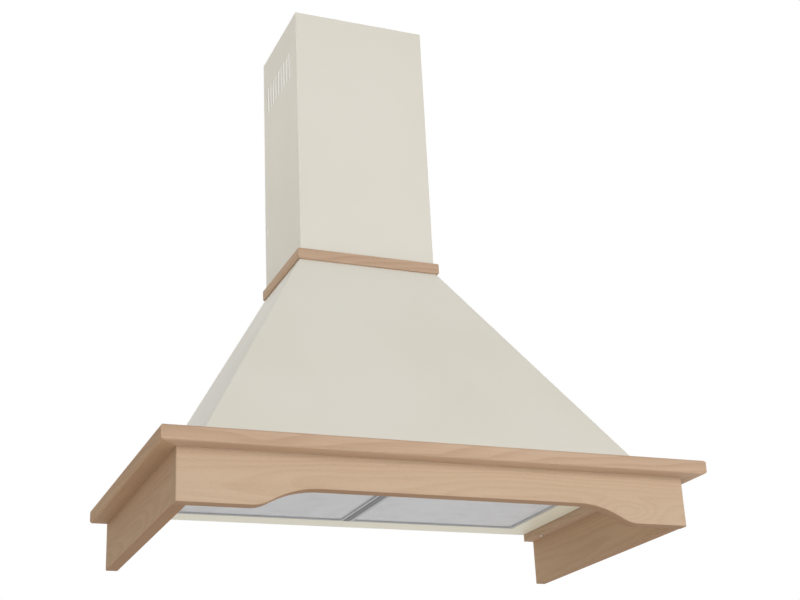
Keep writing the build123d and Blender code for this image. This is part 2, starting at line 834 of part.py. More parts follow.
for side, side_name in SIDES:
    knuckle_place = flap_knuckle_outer if side > 0 else flap_knuckle_inner
    with BuildPart() as flap:
        with BuildSketch(Plane.XY.offset(flap_axis_height - flap_thick / 2)) as flap_outline:
            with Locations((0, duct_depth)):
                Circle(collar_bore - flap_edge_gap)
                Rectangle(
                    2 * (flap_knuckle_radius + hang_gap),
                    2 * collar_bore,
                    mode=Mode.SUBTRACT,
                )
            with Locations((-side * collar_bore, duct_depth)):
                Rectangle(2 * collar_bore, 2 * collar_bore, mode=Mode.SUBTRACT)
            with Locations((0, duct_depth - knuckle_place), (0, duct_depth + knuckle_place)):
                Rectangle(
                    2 * flap_knuckle_radius,
                    flap_knuckle_length,
                    align=(Align.MIN if side > 0 else Align.MAX, Align.CENTER),
                )
        extrude(amount=flap_thick)
        for turn in (-1, 1):
            knuckle_start = duct_depth + turn * knuckle_place + flap_knuckle_length / 2
            with BuildSketch(Plane.XZ.offset(-knuckle_start)):
                with Locations((0, flap_axis_height)):
                    Circle(flap_knuckle_radius)
            extrude(amount=flap_knuckle_length)
        with BuildSketch(Plane.XZ.offset(-duct_depth - collar_bore)):
            with Locations((0, flap_axis_height)):
                Circle(flap_rod_radius + running_gap)
        extrude(amount=2 * collar_bore, mode=Mode.SUBTRACT)
    write_part(flap, f"flap_{side_name}")

# ---------------------------------------------------------------- blower housing

with BuildSketch(fan_plane) as volute_space:
    with BuildLine() as volute_path:
        outlet_top = blower_top - fan_height
        first = CenterArc(
            (-volute_half_step, -volute_half_step),
            volute_radius,
            volute_tongue_angle,
            180 - volute_tongue_angle,
        )
        second = CenterArc((volute_half_step, -volute_half_step), volute_radius + volute_step, 180, 90)
        third = CenterArc((volute_half_step, volute_half_step), volute_end_radius, 270, 90)
        rear_wall = Line(third @ 1, (outlet_rear, outlet_top))
        mouth = Line(rear_wall @ 1, (outlet_front, outlet_top))
        front_wall = Line(mouth @ 1, first @ 0)
    make_face()

with BuildSketch(fan_plane) as volute_outline:
    offset(volute_space.sketch_local, amount=volute_wall, kind=Kind.INTERSECTION)
    with Locations(((outlet_front + outlet_rear) / 2, outlet_top)):
        Rectangle(
            2 * volute_end_radius,
            2 * volute_wall,
            align=(Align.CENTER, Align.MIN),
            mode=Mode.SUBTRACT,
        )

with BuildPart() as scroll_band:
    with BuildSketch(fan_plane.offset(-volute_half_width)):
        add(volute_outline.sketch_local)
        add(volute_space.sketch_local, mode=Mode.SUBTRACT)
    extrude(amount=2 * volute_half_width)
write_part(scroll_band, "scroll_band")

bracket_angles = [90.0 + 360.0 * arm / bracket_arms for arm in range(bracket_arms)]
bracket_screw_radius = bracket_arm_reach - bracket_foot / 2
bracket_screw_places = [
    (bracket_screw_radius * cos(radians(turn)), bracket_screw_radius * sin(radians(turn)))
    for turn in bracket_angles
]

for side, side_name in SIDES:
    inner_face = volute_half_width if side > 0 else -volute_side_outer
    with BuildPart() as scroll_side:
        with BuildSketch(fan_plane.offset(inner_face)):
            add(volute_outline.sketch_local)
            Circle(bell_centre_radius + hang_gap, mode=Mode.SUBTRACT)
            if side < 0:
                with Locations(*bracket_screw_places):
                    Circle(screw_radius + screw_gap, mode=Mode.SUBTRACT)
        extrude(amount=volute_side_thick)
    write_part(scroll_side, f"scroll_side_{side_name}")

    with BuildPart() as inlet_ring:
        with BuildSketch(fan_section) as bell_section:
            with BuildLine():
                throat_start = side * (bell_centre - throat_length)
                throat_end = side * bell_centre
                sweep_out = 90 if side > 0 else -90
                Line((throat_start, throat_radius), (throat_end, throat_radius))
                CenterArc((throat_end, bell_centre_radius), bell_radius + bell_sheet, 270, sweep_out)
                Line((side * inlet_face, bell_centre_radius), (side * inlet_face, inlet_flange_radius))
                Line(
                    (side * inlet_face, inlet_flange_radius),
                    (side * volute_side_outer, inlet_flange_radius),
                )
                Line(
                    (side * volute_side_outer, inlet_flange_radius),
                    (side * volute_side_outer, bell_centre_radius),
                )
                CenterArc((throat_end, bell_centre_radius), bell_radius, 270, sweep_out)
                Line(
                    (throat_end, throat_radius + bell_sheet),
                    (throat_start, throat_radius + bell_sheet),
                )
                Line((throat_start, throat_radius + bell_sheet), (throat_start, throat_radius))
            make_face()
        revolve(axis=fan_axis)
    write_part(inlet_ring, f"inlet_ring_{side_name}")

with BuildPart() as blower_flange:
    with BuildSketch(Plane.XY.offset(blower_top)):
        with Locations((0, duct_depth)):
            Rectangle(2 * blower_flange_half, blower_flange_depth)
            Rectangle(
                2 * volute_half_width,
                outlet_rear - outlet_front,
                mode=Mode.SUBTRACT,
            )
        with Locations(*blower_screw_places, *collar_screw_places):
            Circle(screw_radius + screw_gap, mode=Mode.SUBTRACT)
    extrude(amount=blower_flange_thick)
write_part(blower_flange, "blower_flange")

# ---------------------------------------------------------------- impeller, shaft and motor

with BuildSketch(fan_plane) as blade_row:
    with PolarLocations(0, blade_count):
        with BuildSketch(mode=Mode.PRIVATE) as blade:
            with BuildLine():
                sweep_angle = blade_end_angle - blade_start_angle
                bend = (blade_bend_out, blade_bend)
                inner_arc = CenterArc(bend, blade_bend, blade_start_angle, sweep_angle)
                outer_arc = CenterArc(bend, blade_bend + blade_thick, blade_start_angle, sweep_angle)
                Line(inner_arc @ 0, outer_arc @ 0)
                Line(inner_arc @ 1, outer_arc @ 1)
            make_face()
        add(blade.sketch)

ring_inside = impeller_half_width - impeller_ring_thick
disc_far = disc_place + disc_thick

with BuildPart() as impeller_blades:
    for row_start, row_end in ((-ring_inside, disc_place), (disc_far, ring_inside)):
        with BuildSketch(fan_plane.offset(row_start)):
            add(blade_row.sketch_local)
        extrude(amount=row_end - row_start)
write_part(impeller_blades, "impeller_blades")

with BuildPart() as impeller_rings:
    for ring_start in (-impeller_half_width, ring_inside):
        with BuildSketch(fan_plane.offset(ring_start)):
            Circle(impeller_radius)
            Circle(impeller_eye, mode=Mode.SUBTRACT)
        extrude(amount=impeller_ring_thick)
write_part(impeller_rings, "impeller_rings")

hub_start = disc_place + (disc_thick - hub_length) / 2

with BuildPart() as impeller_disc:
    with BuildSketch(fan_plane.offset(disc_place)):
        Circle(impeller_radius)
    extrude(amount=disc_thick)
    with BuildSketch(fan_plane.offset(hub_start)):
        Circle(hub_radius)
    extrude(amount=hub_length)
    with BuildSketch(fan_plane.offset(hub_start)):
        Circle(shaft_radius + running_gap)
    extrude(amount=hub_length, mode=Mode.SUBTRACT)
write_part(impeller_disc, "impeller_disc")

shaft_start = motor_front - shaft_inside
shaft_end = hub_start + hub_length

with BuildPart() as motor_shaft:
    with BuildSketch(fan_plane.offset(shaft_start)):
        Circle(shaft_radius)
    extrude(amount=shaft_end - shaft_start)
    chamfer(motor_shaft.edges(), length=shaft_chamfer)
write_part(motor_shaft, "motor_shaft")

with BuildPart() as motor:
    with BuildSketch(fan_plane.offset(-inlet_face)):
        Circle(motor_radius)
    extrude(amount=inlet_face + motor_front - motor_nose_length)
    fillet(motor.edges().group_by(Axis.X)[-1], radius=motor_edge)
    with BuildSketch(fan_plane.offset(motor_front - motor_nose_length)):
        Circle(motor_nose_radius)
    extrude(amount=motor_nose_length)
    with BuildSketch(fan_plane.offset(shaft_start - hang_gap)):
        Circle(shaft_radius + running_gap)
    extrude(amount=shaft_inside + hang_gap, mode=Mode.SUBTRACT)
write_part(motor, "motor")

with BuildPart() as motor_bracket:
    with BuildSketch(fan_plane.offset(-inlet_face - bracket_thick)):
        Circle(bracket_hub_radius)
        for turn in bracket_angles:
            with Locations(Rotation(0, 0, turn)):
                Rectangle(bracket_arm_reach, bracket_arm_width, align=(Align.MIN, Align.CENTER))
        Circle(bracket_hole_radius, mode=Mode.SUBTRACT)
        with Locations(*bracket_screw_places):
            Circle(screw_radius + screw_gap, mode=Mode.SUBTRACT)
    extrude(amount=bracket_thick)
    with BuildSketch(fan_plane.offset(-inlet_face)):
        for turn in bracket_angles:
            with Locations(Rotation(0, 0, turn)):
                with Locations((bracket_screw_radius, 0)):
                    Rectangle(bracket_foot, bracket_arm_width)
        with Locations(*bracket_screw_places):
            Circle(screw_radius + screw_gap, mode=Mode.SUBTRACT)
    extrude(amount=bell_sheet)
write_part(motor_bracket, "motor_bracket")

with BuildPart() as capacitor:
    with BuildSketch(fan_plane.offset(-volute_side_outer - capacitor_length)):
        with Locations((capacitor_behind, -capacitor_below)):
            Circle(capacitor_radius)
    extrude(amount=capacitor_length)
    fillet(capacitor.edges().group_by(Axis.X)[0], radius=sheet)
write_part(capacitor, "capacitor")

# ---------------------------------------------------------------- screws

bracket_screw_length = 2 * volute_side_thick + bracket_thick + bell_sheet

with BuildPart() as bracket_screws:
    with BuildSketch(fan_plane.offset(-inlet_face - bracket_thick)):
        with Locations(*bracket_screw_places):
            Circle(screw_radius)
    extrude(amount=bracket_screw_length)
    with BuildSketch(fan_plane.offset(-inlet_face - bracket_thick)):
        with Locations(*bracket_screw_places):
            Circle(screw_head_radius)
    extrude(amount=-screw_head_height)
write_part(bracket_screws, "bracket_screws")

with BuildPart() as portal_screws:
    with BuildSketch(Plane.XY.offset(-cornice_thick)):
        with Locations(*portal_places):
            Circle(screw_radius)
    extrude(amount=cornice_thick + portal_screw_tip)
    with BuildSketch(Plane.XY.offset(-cornice_thick)):
        with Locations(*portal_places):
            Circle(screw_head_radius)
    extrude(amount=-screw_head_height)
    rims = portal_screws.edges().group_by(Axis.Z)[0]
    chamfer(rims, length=screw_head_bevel)
write_part(portal_screws, "portal_screws")

with BuildPart() as plate_screws:
    for places, seat in (
        (foot_screw_places, canopy_rise + sheet),
        (blower_screw_places, plate_top),
        (collar_screw_places, plate_top + collar_flange_thick),
    ):
        with BuildSketch(Plane.XY.offset(seat)):
            with Locations(*places):
                Circle(screw_head_radius)
        extrude(amount=screw_head_height)
        with BuildSketch(Plane.XY.offset(seat)):
            with Locations(*places):
                Circle(screw_radius)
        extrude(amount=-plate_screw_length)
write_part(plate_screws, "plate_screws")

# ---------------------------------------------------------------- mains connection

with BuildPart() as terminal_box:
    with BuildSketch(Plane.XY.offset(plate_under - terminal_box_height)) as box_outline:
        with Locations(terminal_place):
            Rectangle(terminal_box_width, terminal_box_depth)
        fillet(box_outline.vertices(), radius=terminal_round)
    extrude(amount=terminal_box_height)
    with BuildSketch(Plane.XY.offset(plate_under - terminal_box_height)):
        offset(box_outline.sketch, amount=-terminal_wall)
    extrude(amount=terminal_box_height - terminal_wall, mode=Mode.SUBTRACT)
    with BuildSketch(Plane.XY.offset(plate_under - terminal_wall)):
        with Locations(terminal_place):
            Circle(gland_thread_radius + hang_gap)
    extrude(amount=terminal_wall, mode=Mode.SUBTRACT)
write_part(terminal_box, "terminal_box")

with BuildPart() as terminal_cover:
    with BuildSketch(Plane.XY.offset(plate_under - terminal_box_height - terminal_wall)) as cover_outline:
        with Locations(terminal_place):
            Rectangle(terminal_box_width, terminal_box_depth)
        fillet(cover_outline.vertices(), radius=terminal_round)
    extrude(amount=terminal_wall)
write_part(terminal_cover, "terminal_cover")

with BuildPart() as cable_gland:
    with BuildSketch(Plane.XY.offset(plate_top)):
        with Locations(terminal_place):
            RegularPolygon(gland_hex / 2, 6, major_radius=False)
    extrude(amount=gland_hex_height)
    with BuildSketch(Plane.XY.offset(plate_top + gland_hex_height)):
        with Locations(terminal_place):
            Circle(gland_dome_radius)
    extrude(amount=gland_dome_height)
    fillet(cable_gland.edges().group_by(Axis.Z)[-1], radius=gland_dome_round)
    with BuildSketch(Plane.XY.offset(plate_top)):
        with Locations(terminal_place):
            Circle(gland_thread_radius)
    extrude(amount=-gland_thread_length)
    with BuildSketch(Plane.XY.offset(plate_top - gland_thread_length)):
        with Locations(terminal_place):
            Circle(gland_bore_radius)
    extrude(amount=gland_thread_length + gland_hex_height + gland_dome_height, mode=Mode.SUBTRACT)
write_part(cable_gland, "cable_gland")

# ---------------------------------------------------------------- lamps

lens_under = panel_under - lamp_flange_thick + lamp_rim_thick
board_under = lens_under + lamp_lens_thick

for side, side_name in SIDES:
    lamp_plane = Plane(origin=(side * lamp_offset, -strip_depth, 0), x_dir=(1, 0, 0), z_dir=(0, -1, 0))
    lamp_axis = Axis((side * lamp_offset, -strip_depth, 0), (0, 0, 1))

    with BuildPart() as lamp_bezel:
        with BuildSketch(lamp_plane):
            with BuildLine():
                Polyline(
                    (lamp_window_radius, panel_under - lamp_flange_thick),
                    (lamp_flange_radius - lamp_rim_thick, panel_under - lamp_flange_thick),
                    (lamp_flange_radius, panel_under - lamp_flange_thick + lamp_rim_thick),
                    (lamp_flange_radius, panel_under),
                    (lamp_neck_radius, panel_under),
                    (lamp_neck_radius, panel_under + lamp_neck_height),
                    (lamp_bore_radius, panel_under + lamp_neck_height),
                    (lamp_bore_radius, lens_under),
                    (lamp_window_radius, lens_under),
                    close=True,
                )
            make_face()
        revolve(axis=lamp_axis)
    write_part(lamp_bezel, f"lamp_bezel_{side_name}")

    with BuildPart() as lamp_lens:
        with BuildSketch(Plane.XY.offset(lens_under)):
            with Locations((side * lamp_offset, -strip_depth)):
                Circle(lamp_bore_radius - lamp_gap)
        extrude(amount=lamp_lens_thick)
    write_part(lamp_lens, f"lamp_lens_{side_name}")

    with BuildPart() as lamp_board:
        with BuildSketch(Plane.XY.offset(board_under)):
            with Locations((side * lamp_offset, -strip_depth)):
                Circle(lamp_bore_radius - lamp_gap)
        extrude(amount=lamp_board_thick)
    write_part(lamp_board, f"lamp_board_{side_name}")

    with BuildPart() as lamp_housing:
        with BuildSketch(lamp_plane):
            with BuildLine():
                Polyline(
                    (0, panel_top + lamp_can_height),
                    (0, panel_top + lamp_can_height - sheet),
                    (lamp_can_radius - sheet, panel_top + lamp_can_height - sheet),
                    (lamp_can_radius - sheet, panel_top),
                    (lamp_can_radius, panel_top),
                    (lamp_can_radius, panel_top + lamp_can_height),
                    close=True,
                )
            make_face()
        revolve(axis=lamp_axis)
    write_part(lamp_housing, f"lamp_housing_{side_name}")

# ---------------------------------------------------------------- controls

with BuildPart() as control_plate:
    with BuildSketch(Plane.XY.offset(panel_under - control_plate_thick)) as plate_outline:
        with Locations((0, -strip_depth)):
            Rectangle(control_plate_width, control_plate_depth)
        fillet(plate_outline.vertices(), radius=control_plate_thick)
        for place, travel in ((speed_place, speed_travel), (light_place, light_travel)):
            with Locations((place + travel / 2, -strip_depth)):
                Rectangle(
                    knob_stem + travel + 2 * hang_gap,
                    knob_stem + 2 * hang_gap,
                    mode=Mode.SUBTRACT,
                )
    extrude(amount=control_plate_thick)
write_part(control_plate, "control_plate")

with BuildPart() as control_housing:
    with BuildSketch(Plane.XY.offset(panel_top)):
        with Locations((0, -strip_depth)):
            Rectangle(
                control_cut_width + 2 * (control_box_margin + control_box_wall),
                control_cut_depth + 2 * (control_box_margin + control_box_wall),
            )
    extrude(amount=control_box_height)
    with BuildSketch(Plane.XY.offset(panel_top)):
        with Locations((0, -strip_depth)):
            Rectangle(
                control_cut_width + 2 * control_box_margin,
                control_cut_depth + 2 * control_box_margin,
            )
    extrude(amount=control_box_height - control_box_wall, mode=Mode.SUBTRACT)
write_part(control_housing, "control_housing")

for place, knob_name in ((speed_place, "speed_slider"), (light_place, "light_slider")):
    with BuildPart() as slider:
        with BuildSketch(Plane.XY.offset(panel_under + hang_gap)):
            with Locations((place, -strip_depth)):
                Rectangle(carriage_width, carriage_depth)
        extrude(amount=carriage_thick)
        with BuildSketch(Plane.XY.offset(panel_under - control_plate_thick - hang_gap)):
            with Locations((place, -strip_depth)):
                Rectangle(knob_stem, knob_stem)
        extrude(amount=control_plate_thick + 2 * hang_gap)
        with BuildSketch(Plane.XY.offset(panel_under - control_plate_thick - hang_gap)):
            with Locations((place, -strip_depth)):
                Rectangle(knob_width, knob_depth)
        extrude(amount=-knob_height, taper=knob_taper)
    write_part(slider, knob_name)
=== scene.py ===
"""Studio scene of a wall chimney cooker hood on a wooden portal.

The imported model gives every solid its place. This script dresses each solid in its
finish, adds the fine parts that are too small for the solids, and sets up a plain, soft
studio with the camera below the hood. Lengths are metres, in the model's own frame:
X to the right as seen from the room, Y into the wall and Z up.
"""

from __future__ import annotations

import json
import logging
import math
from dataclasses import dataclass, field
from enum import Enum
from typing import Any, Iterable, Sequence

import bmesh
import bpy
from mathutils import Matrix, Vector, noise

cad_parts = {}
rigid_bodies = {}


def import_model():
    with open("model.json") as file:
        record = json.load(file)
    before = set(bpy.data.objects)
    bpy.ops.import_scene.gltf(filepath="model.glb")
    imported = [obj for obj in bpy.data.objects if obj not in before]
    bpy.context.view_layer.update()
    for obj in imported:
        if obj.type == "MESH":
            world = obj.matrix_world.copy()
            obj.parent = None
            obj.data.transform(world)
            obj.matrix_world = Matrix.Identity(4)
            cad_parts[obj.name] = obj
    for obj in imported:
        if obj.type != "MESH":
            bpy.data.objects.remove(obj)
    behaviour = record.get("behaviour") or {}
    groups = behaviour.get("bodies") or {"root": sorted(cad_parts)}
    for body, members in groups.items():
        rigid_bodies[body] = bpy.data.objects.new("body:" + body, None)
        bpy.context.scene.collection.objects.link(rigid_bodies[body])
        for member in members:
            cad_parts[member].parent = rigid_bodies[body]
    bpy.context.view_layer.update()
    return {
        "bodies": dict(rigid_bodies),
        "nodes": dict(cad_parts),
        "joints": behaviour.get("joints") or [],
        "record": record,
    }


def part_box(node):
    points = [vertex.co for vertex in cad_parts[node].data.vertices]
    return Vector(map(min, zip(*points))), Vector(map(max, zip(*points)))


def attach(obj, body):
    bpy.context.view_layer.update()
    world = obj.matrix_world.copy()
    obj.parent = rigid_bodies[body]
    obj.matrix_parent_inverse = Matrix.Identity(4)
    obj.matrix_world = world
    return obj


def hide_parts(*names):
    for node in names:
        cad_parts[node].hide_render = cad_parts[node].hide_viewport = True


LOG = logging.getLogger("hood")
SIDES = ("left", "right")

# Curve between the colour values of a screen and linear light
SCREEN_KNEE = 0.04045
SCREEN_SLOPE = 12.92
SCREEN_OFFSET = 0.055
SCREEN_POWER = 2.4

Colour = tuple[float, float, float, float]
Triple = tuple[float, float, float]
Pair = tuple[float, float]

WHITE: Colour = (1.0, 1.0, 1.0, 1.0)


class Axis(Enum):
    """Direction of a board's fibres or a sheet's brushing, and the two across it."""

    X = (0, 1, 2)
    Y = (1, 0, 2)
    Z = (2, 0, 1)


def tint(red: float, green: float, blue: float) -> Colour:
    """Turn a colour as it is seen on a screen into the renderer's linear one.

    Args:
        red: Red share, from 0 to 255.
        green: Green share, from 0 to 255.
        blue: Blue share, from 0 to 255.

    Returns:
        The linear colour, fully opaque.
    """
    linear = []
    for share in (red, green, blue):
        part = share / 255
        curved = ((part + SCREEN_OFFSET) / (1 + SCREEN_OFFSET)) ** SCREEN_POWER
        linear.append(part / SCREEN_SLOPE if part <= SCREEN_KNEE else curved)
    return (linear[0], linear[1], linear[2], 1.0)


# ------------------------------------------------------------------ shader bench


class Wire:
    """A number or vector on its way through a material, which takes part in sums."""

    def __init__(self, bench: Bench, socket: bpy.types.NodeSocket) -> None:
        """Wrap one output socket of a node on the bench."""
        self.bench = bench
        self.socket = socket

    def __add__(self, other: Wire | float) -> Wire:
        """Add a number."""
        return self.bench.maths("ADD", self, other)

    def __radd__(self, other: float) -> Wire:
        """Add to a plain number."""
        return self.bench.maths("ADD", other, self)

    def __sub__(self, other: Wire | float) -> Wire:
        """Subtract a number."""
        return self.bench.maths("SUBTRACT", self, other)

    def __rsub__(self, other: float) -> Wire:
        """Subtract from a plain number."""
        return self.bench.maths("SUBTRACT", other, self)

    def __mul__(self, other: Wire | float) -> Wire:
        """Multiply by a number."""
        return self.bench.maths("MULTIPLY", self, other)

    def __rmul__(self, other: float) -> Wire:
        """Multiply a plain number."""
        return self.bench.maths("MULTIPLY", other, self)

    def __truediv__(self, other: Wire | float) -> Wire:
        """Divide by a number."""
        return self.bench.maths("DIVIDE", self, other)

    def __rtruediv__(self, other: float) -> Wire:
        """Divide a plain number."""
        return self.bench.maths("DIVIDE", other, self)

    def __pow__(self, other: Wire | float) -> Wire:
        """Raise to a power."""
        return self.bench.maths("POWER", self, other)

    def __rpow__(self, other: float) -> Wire:
        """Raise a plain number to this power."""
        return self.bench.maths("POWER", other, self)

    def __neg__(self) -> Wire:
        """Turn the sign."""
        return self.bench.maths("MULTIPLY", self, -1.0)


class Bench:
    """The bench on which the nodes of one material, or of the world, are laid out."""

    def __init__(self, tree: bpy.types.NodeTree) -> None:
        """Clear a node tree for new work."""
        self.tree = tree
        self.tree.nodes.clear()

    def node(
        self,
        kind: str,
        settings: dict[str, Any] | None = None,
        inputs: dict[Any, Any] | None = None,
    ) -> bpy.types.Node:
        """Lay out one node.

        Args:
            kind: The node's type, without its ShaderNode prefix.
            settings: The node's own properties, which are set first.
            inputs: Values or links, by the name or number of the socket.

        Returns:
            The new node.
        """
        made = self.tree.nodes.new("ShaderNode" + kind)
        for name, value in (settings or {}).items():
            setattr(made, name, value)
        for name, value in (inputs or {}).items():
            if isinstance(value, Wire):
                self.tree.links.new(value.socket, made.inputs[name])
            else:
                made.inputs[name].default_value = value
        return made

    def wire(
        self,
        kind: str,
        output: str | int = 0,
        settings: dict[str, Any] | None = None,
        inputs: dict[Any, Any] | None = None,
    ) -> Wire:
        """Lay out one node and pick up the output with this name or number."""
        return Wire(self, self.node(kind, settings, inputs).outputs[output])

    def maths(self, operation: str, *terms: Wire | float) -> Wire:
        """Work out numbers with a Math node."""
        return self.wire("Math", 0, {"operation": operation}, dict(enumerate(terms)))

    def place(self) -> Wire:
        """Place on the piece, in metres, which moves along with it."""
        return self.wire("TexCoord", "Object")

    def parts(self, point: Wire) -> tuple[Wire, Wire, Wire]:
        """Split a vector into its three numbers."""
        first, second, third = self.node("SeparateXYZ", inputs={0: point}).outputs
        return (Wire(self, first), Wire(self, second), Wire(self, third))

    def joined(self, *numbers: Wire | float) -> Wire:
        """Join three numbers into a vector."""
        return self.wire("CombineXYZ", 0, inputs=dict(enumerate(numbers)))

    def cloud(
        self, point: Wire, scale: float, detail: float = 2.0, roughness: float = 0.5
    ) -> Wire:
        """Lay out cloudy variation from 0 to 1, with so many blots per metre."""
        inputs = {"Vector": point, "Scale": scale, "Detail": detail, "Roughness": roughness}
        return self.wire("TexNoise", "Fac", inputs=inputs)

    def window(self, value: Wire, low: float, high: float) -> Wire:
        """Rise smoothly from 0 to 1 while a value goes from low to high."""
        inputs = {"Value": value, "From Min": low, "From Max": high}
        return self.wire("MapRange", 0, {"interpolation_type": "SMOOTHSTEP"}, inputs)

    def clamp(self, value: Wire) -> Wire:
        """Keep a number between 0 and 1."""
        return self.maths("MINIMUM", self.maths("MAXIMUM", value, 0.0), 1.0)

    def blend(self, share: Wire | float, first: Wire | Colour, second: Wire | Colour) -> Wire:
        """Blend two colours, from the first at 0 to the second at 1."""
        return self.wire("Mix", 2, {"data_type": "RGBA"}, {0: share, 6: first, 7: second})

    def bump(
        self, height: Wire, depth: float, strength: float, under: Wire | None = None
    ) -> Wire:
        """Tilt a surface by a height.

        Args:
            height: The height, from 0 to 1.
            depth: What a height of 1 means, in metres.
            strength: Share of the effect that is used.
            under: Normal of a coarser relief below this one.

        Returns:
            The normal.
        """
        inputs: dict[Any, Any] = {"Strength": strength, "Distance": depth, "Height": height}
        if under is not None:
            inputs["Normal"] = under
        return self.wire("Bump", 0, inputs=inputs)

    def surface(self, inputs: dict[str, Any]) -> None:
        """Close a material with a principled surface that has these inputs."""
        made = self.wire("BsdfPrincipled", inputs=inputs)
        self.node("OutputMaterial", inputs={0: made})


# ------------------------------------------------------------------ finishes


@dataclass(frozen=True)
class Finish:
    """A surface's material, laid out on a bench of its own.

    The label's prefix keeps it apart from the plain materials that the model brings.
    """

    name: str

    def lay(self, bench: Bench) -> None:
        """Lay out the finish's nodes."""
        raise NotImplementedError

    def material(self) -> bpy.types.Material:
        """Make the finish's material, or find it when it is there.

        Returns:
            The material, which all pieces of this finish share.
        """
        label = f"finish_{self.name}"
        found = bpy.data.materials.get(label)
        if found is None:
            found = bpy.data.materials.new(label)
            found.use_nodes = True
            self.lay(Bench(found.node_tree))
        return found


@dataclass(frozen=True)
class PowderCoat(Finish):
    """Satin powder coat on sheet steel, with its fine orange peel."""

    colour: Colour
    haze: Colour
    roughness: float = 0.36
    polish: float = 0.30
    gloss: float = 0.05
    gloss_roughness: float = 0.30
    drift_scale: float = 3.2
    drift_window: Pair = (0.35, 0.75)
    drift_share: float = 0.5
    drift_roughness: float = 0.10
    speck_scale: float = 900.0
    speck_window: Pair = (0.35, 0.72)
    speck_share: float = 0.10
    wave_scale: float = 14.0
    wave_depth: float = 0.0006
    wave_strength: float = 0.6
    peel_scale: float = 420.0
    peel_depth: float = 0.00005
    peel_strength: float = 0.35

    def lay(self, bench: Bench) -> None:
        """Lay out the coat's drifting tone, its specks and its orange peel.

        Args:
            bench: The material's bench.
        """
        point = bench.place()
        drift = bench.cloud(point, self.drift_scale, detail=3.0)
        speck = bench.cloud(point, self.speck_scale)
        hazy = bench.window(drift, *self.drift_window) * self.drift_share
        colour = bench.blend(hazy, self.colour, self.haze)
        specked = bench.window(speck, *self.speck_window) * self.speck_share
        colour = bench.blend(specked, colour, self.haze)
        waves = bench.cloud(point, self.wave_scale, detail=1.0)
        waves = bench.bump(waves, self.wave_depth, self.wave_strength)
        peel = bench.cloud(point, self.peel_scale)
        bench.surface(
            {
                "Base Color": colour,
                "Roughness": self.roughness + self.drift_roughness * drift,
                "Specular IOR Level": self.polish,
                "Coat Weight": self.gloss,
                "Coat Roughness": self.gloss_roughness,
                "Normal": bench.bump(peel, self.peel_depth, self.peel_strength, waves),
            }
        )


@dataclass(frozen=True)
class Grain:
    """One layer of a wood's figure, drawn out along the fibres.

    It has so many blots per metre along the fibres and across them, shows in the
    colour with a share, and in the relief with another.
    """

    slow: float
    fast: float
    detail: float
    share: float
    relief: float = 0.0


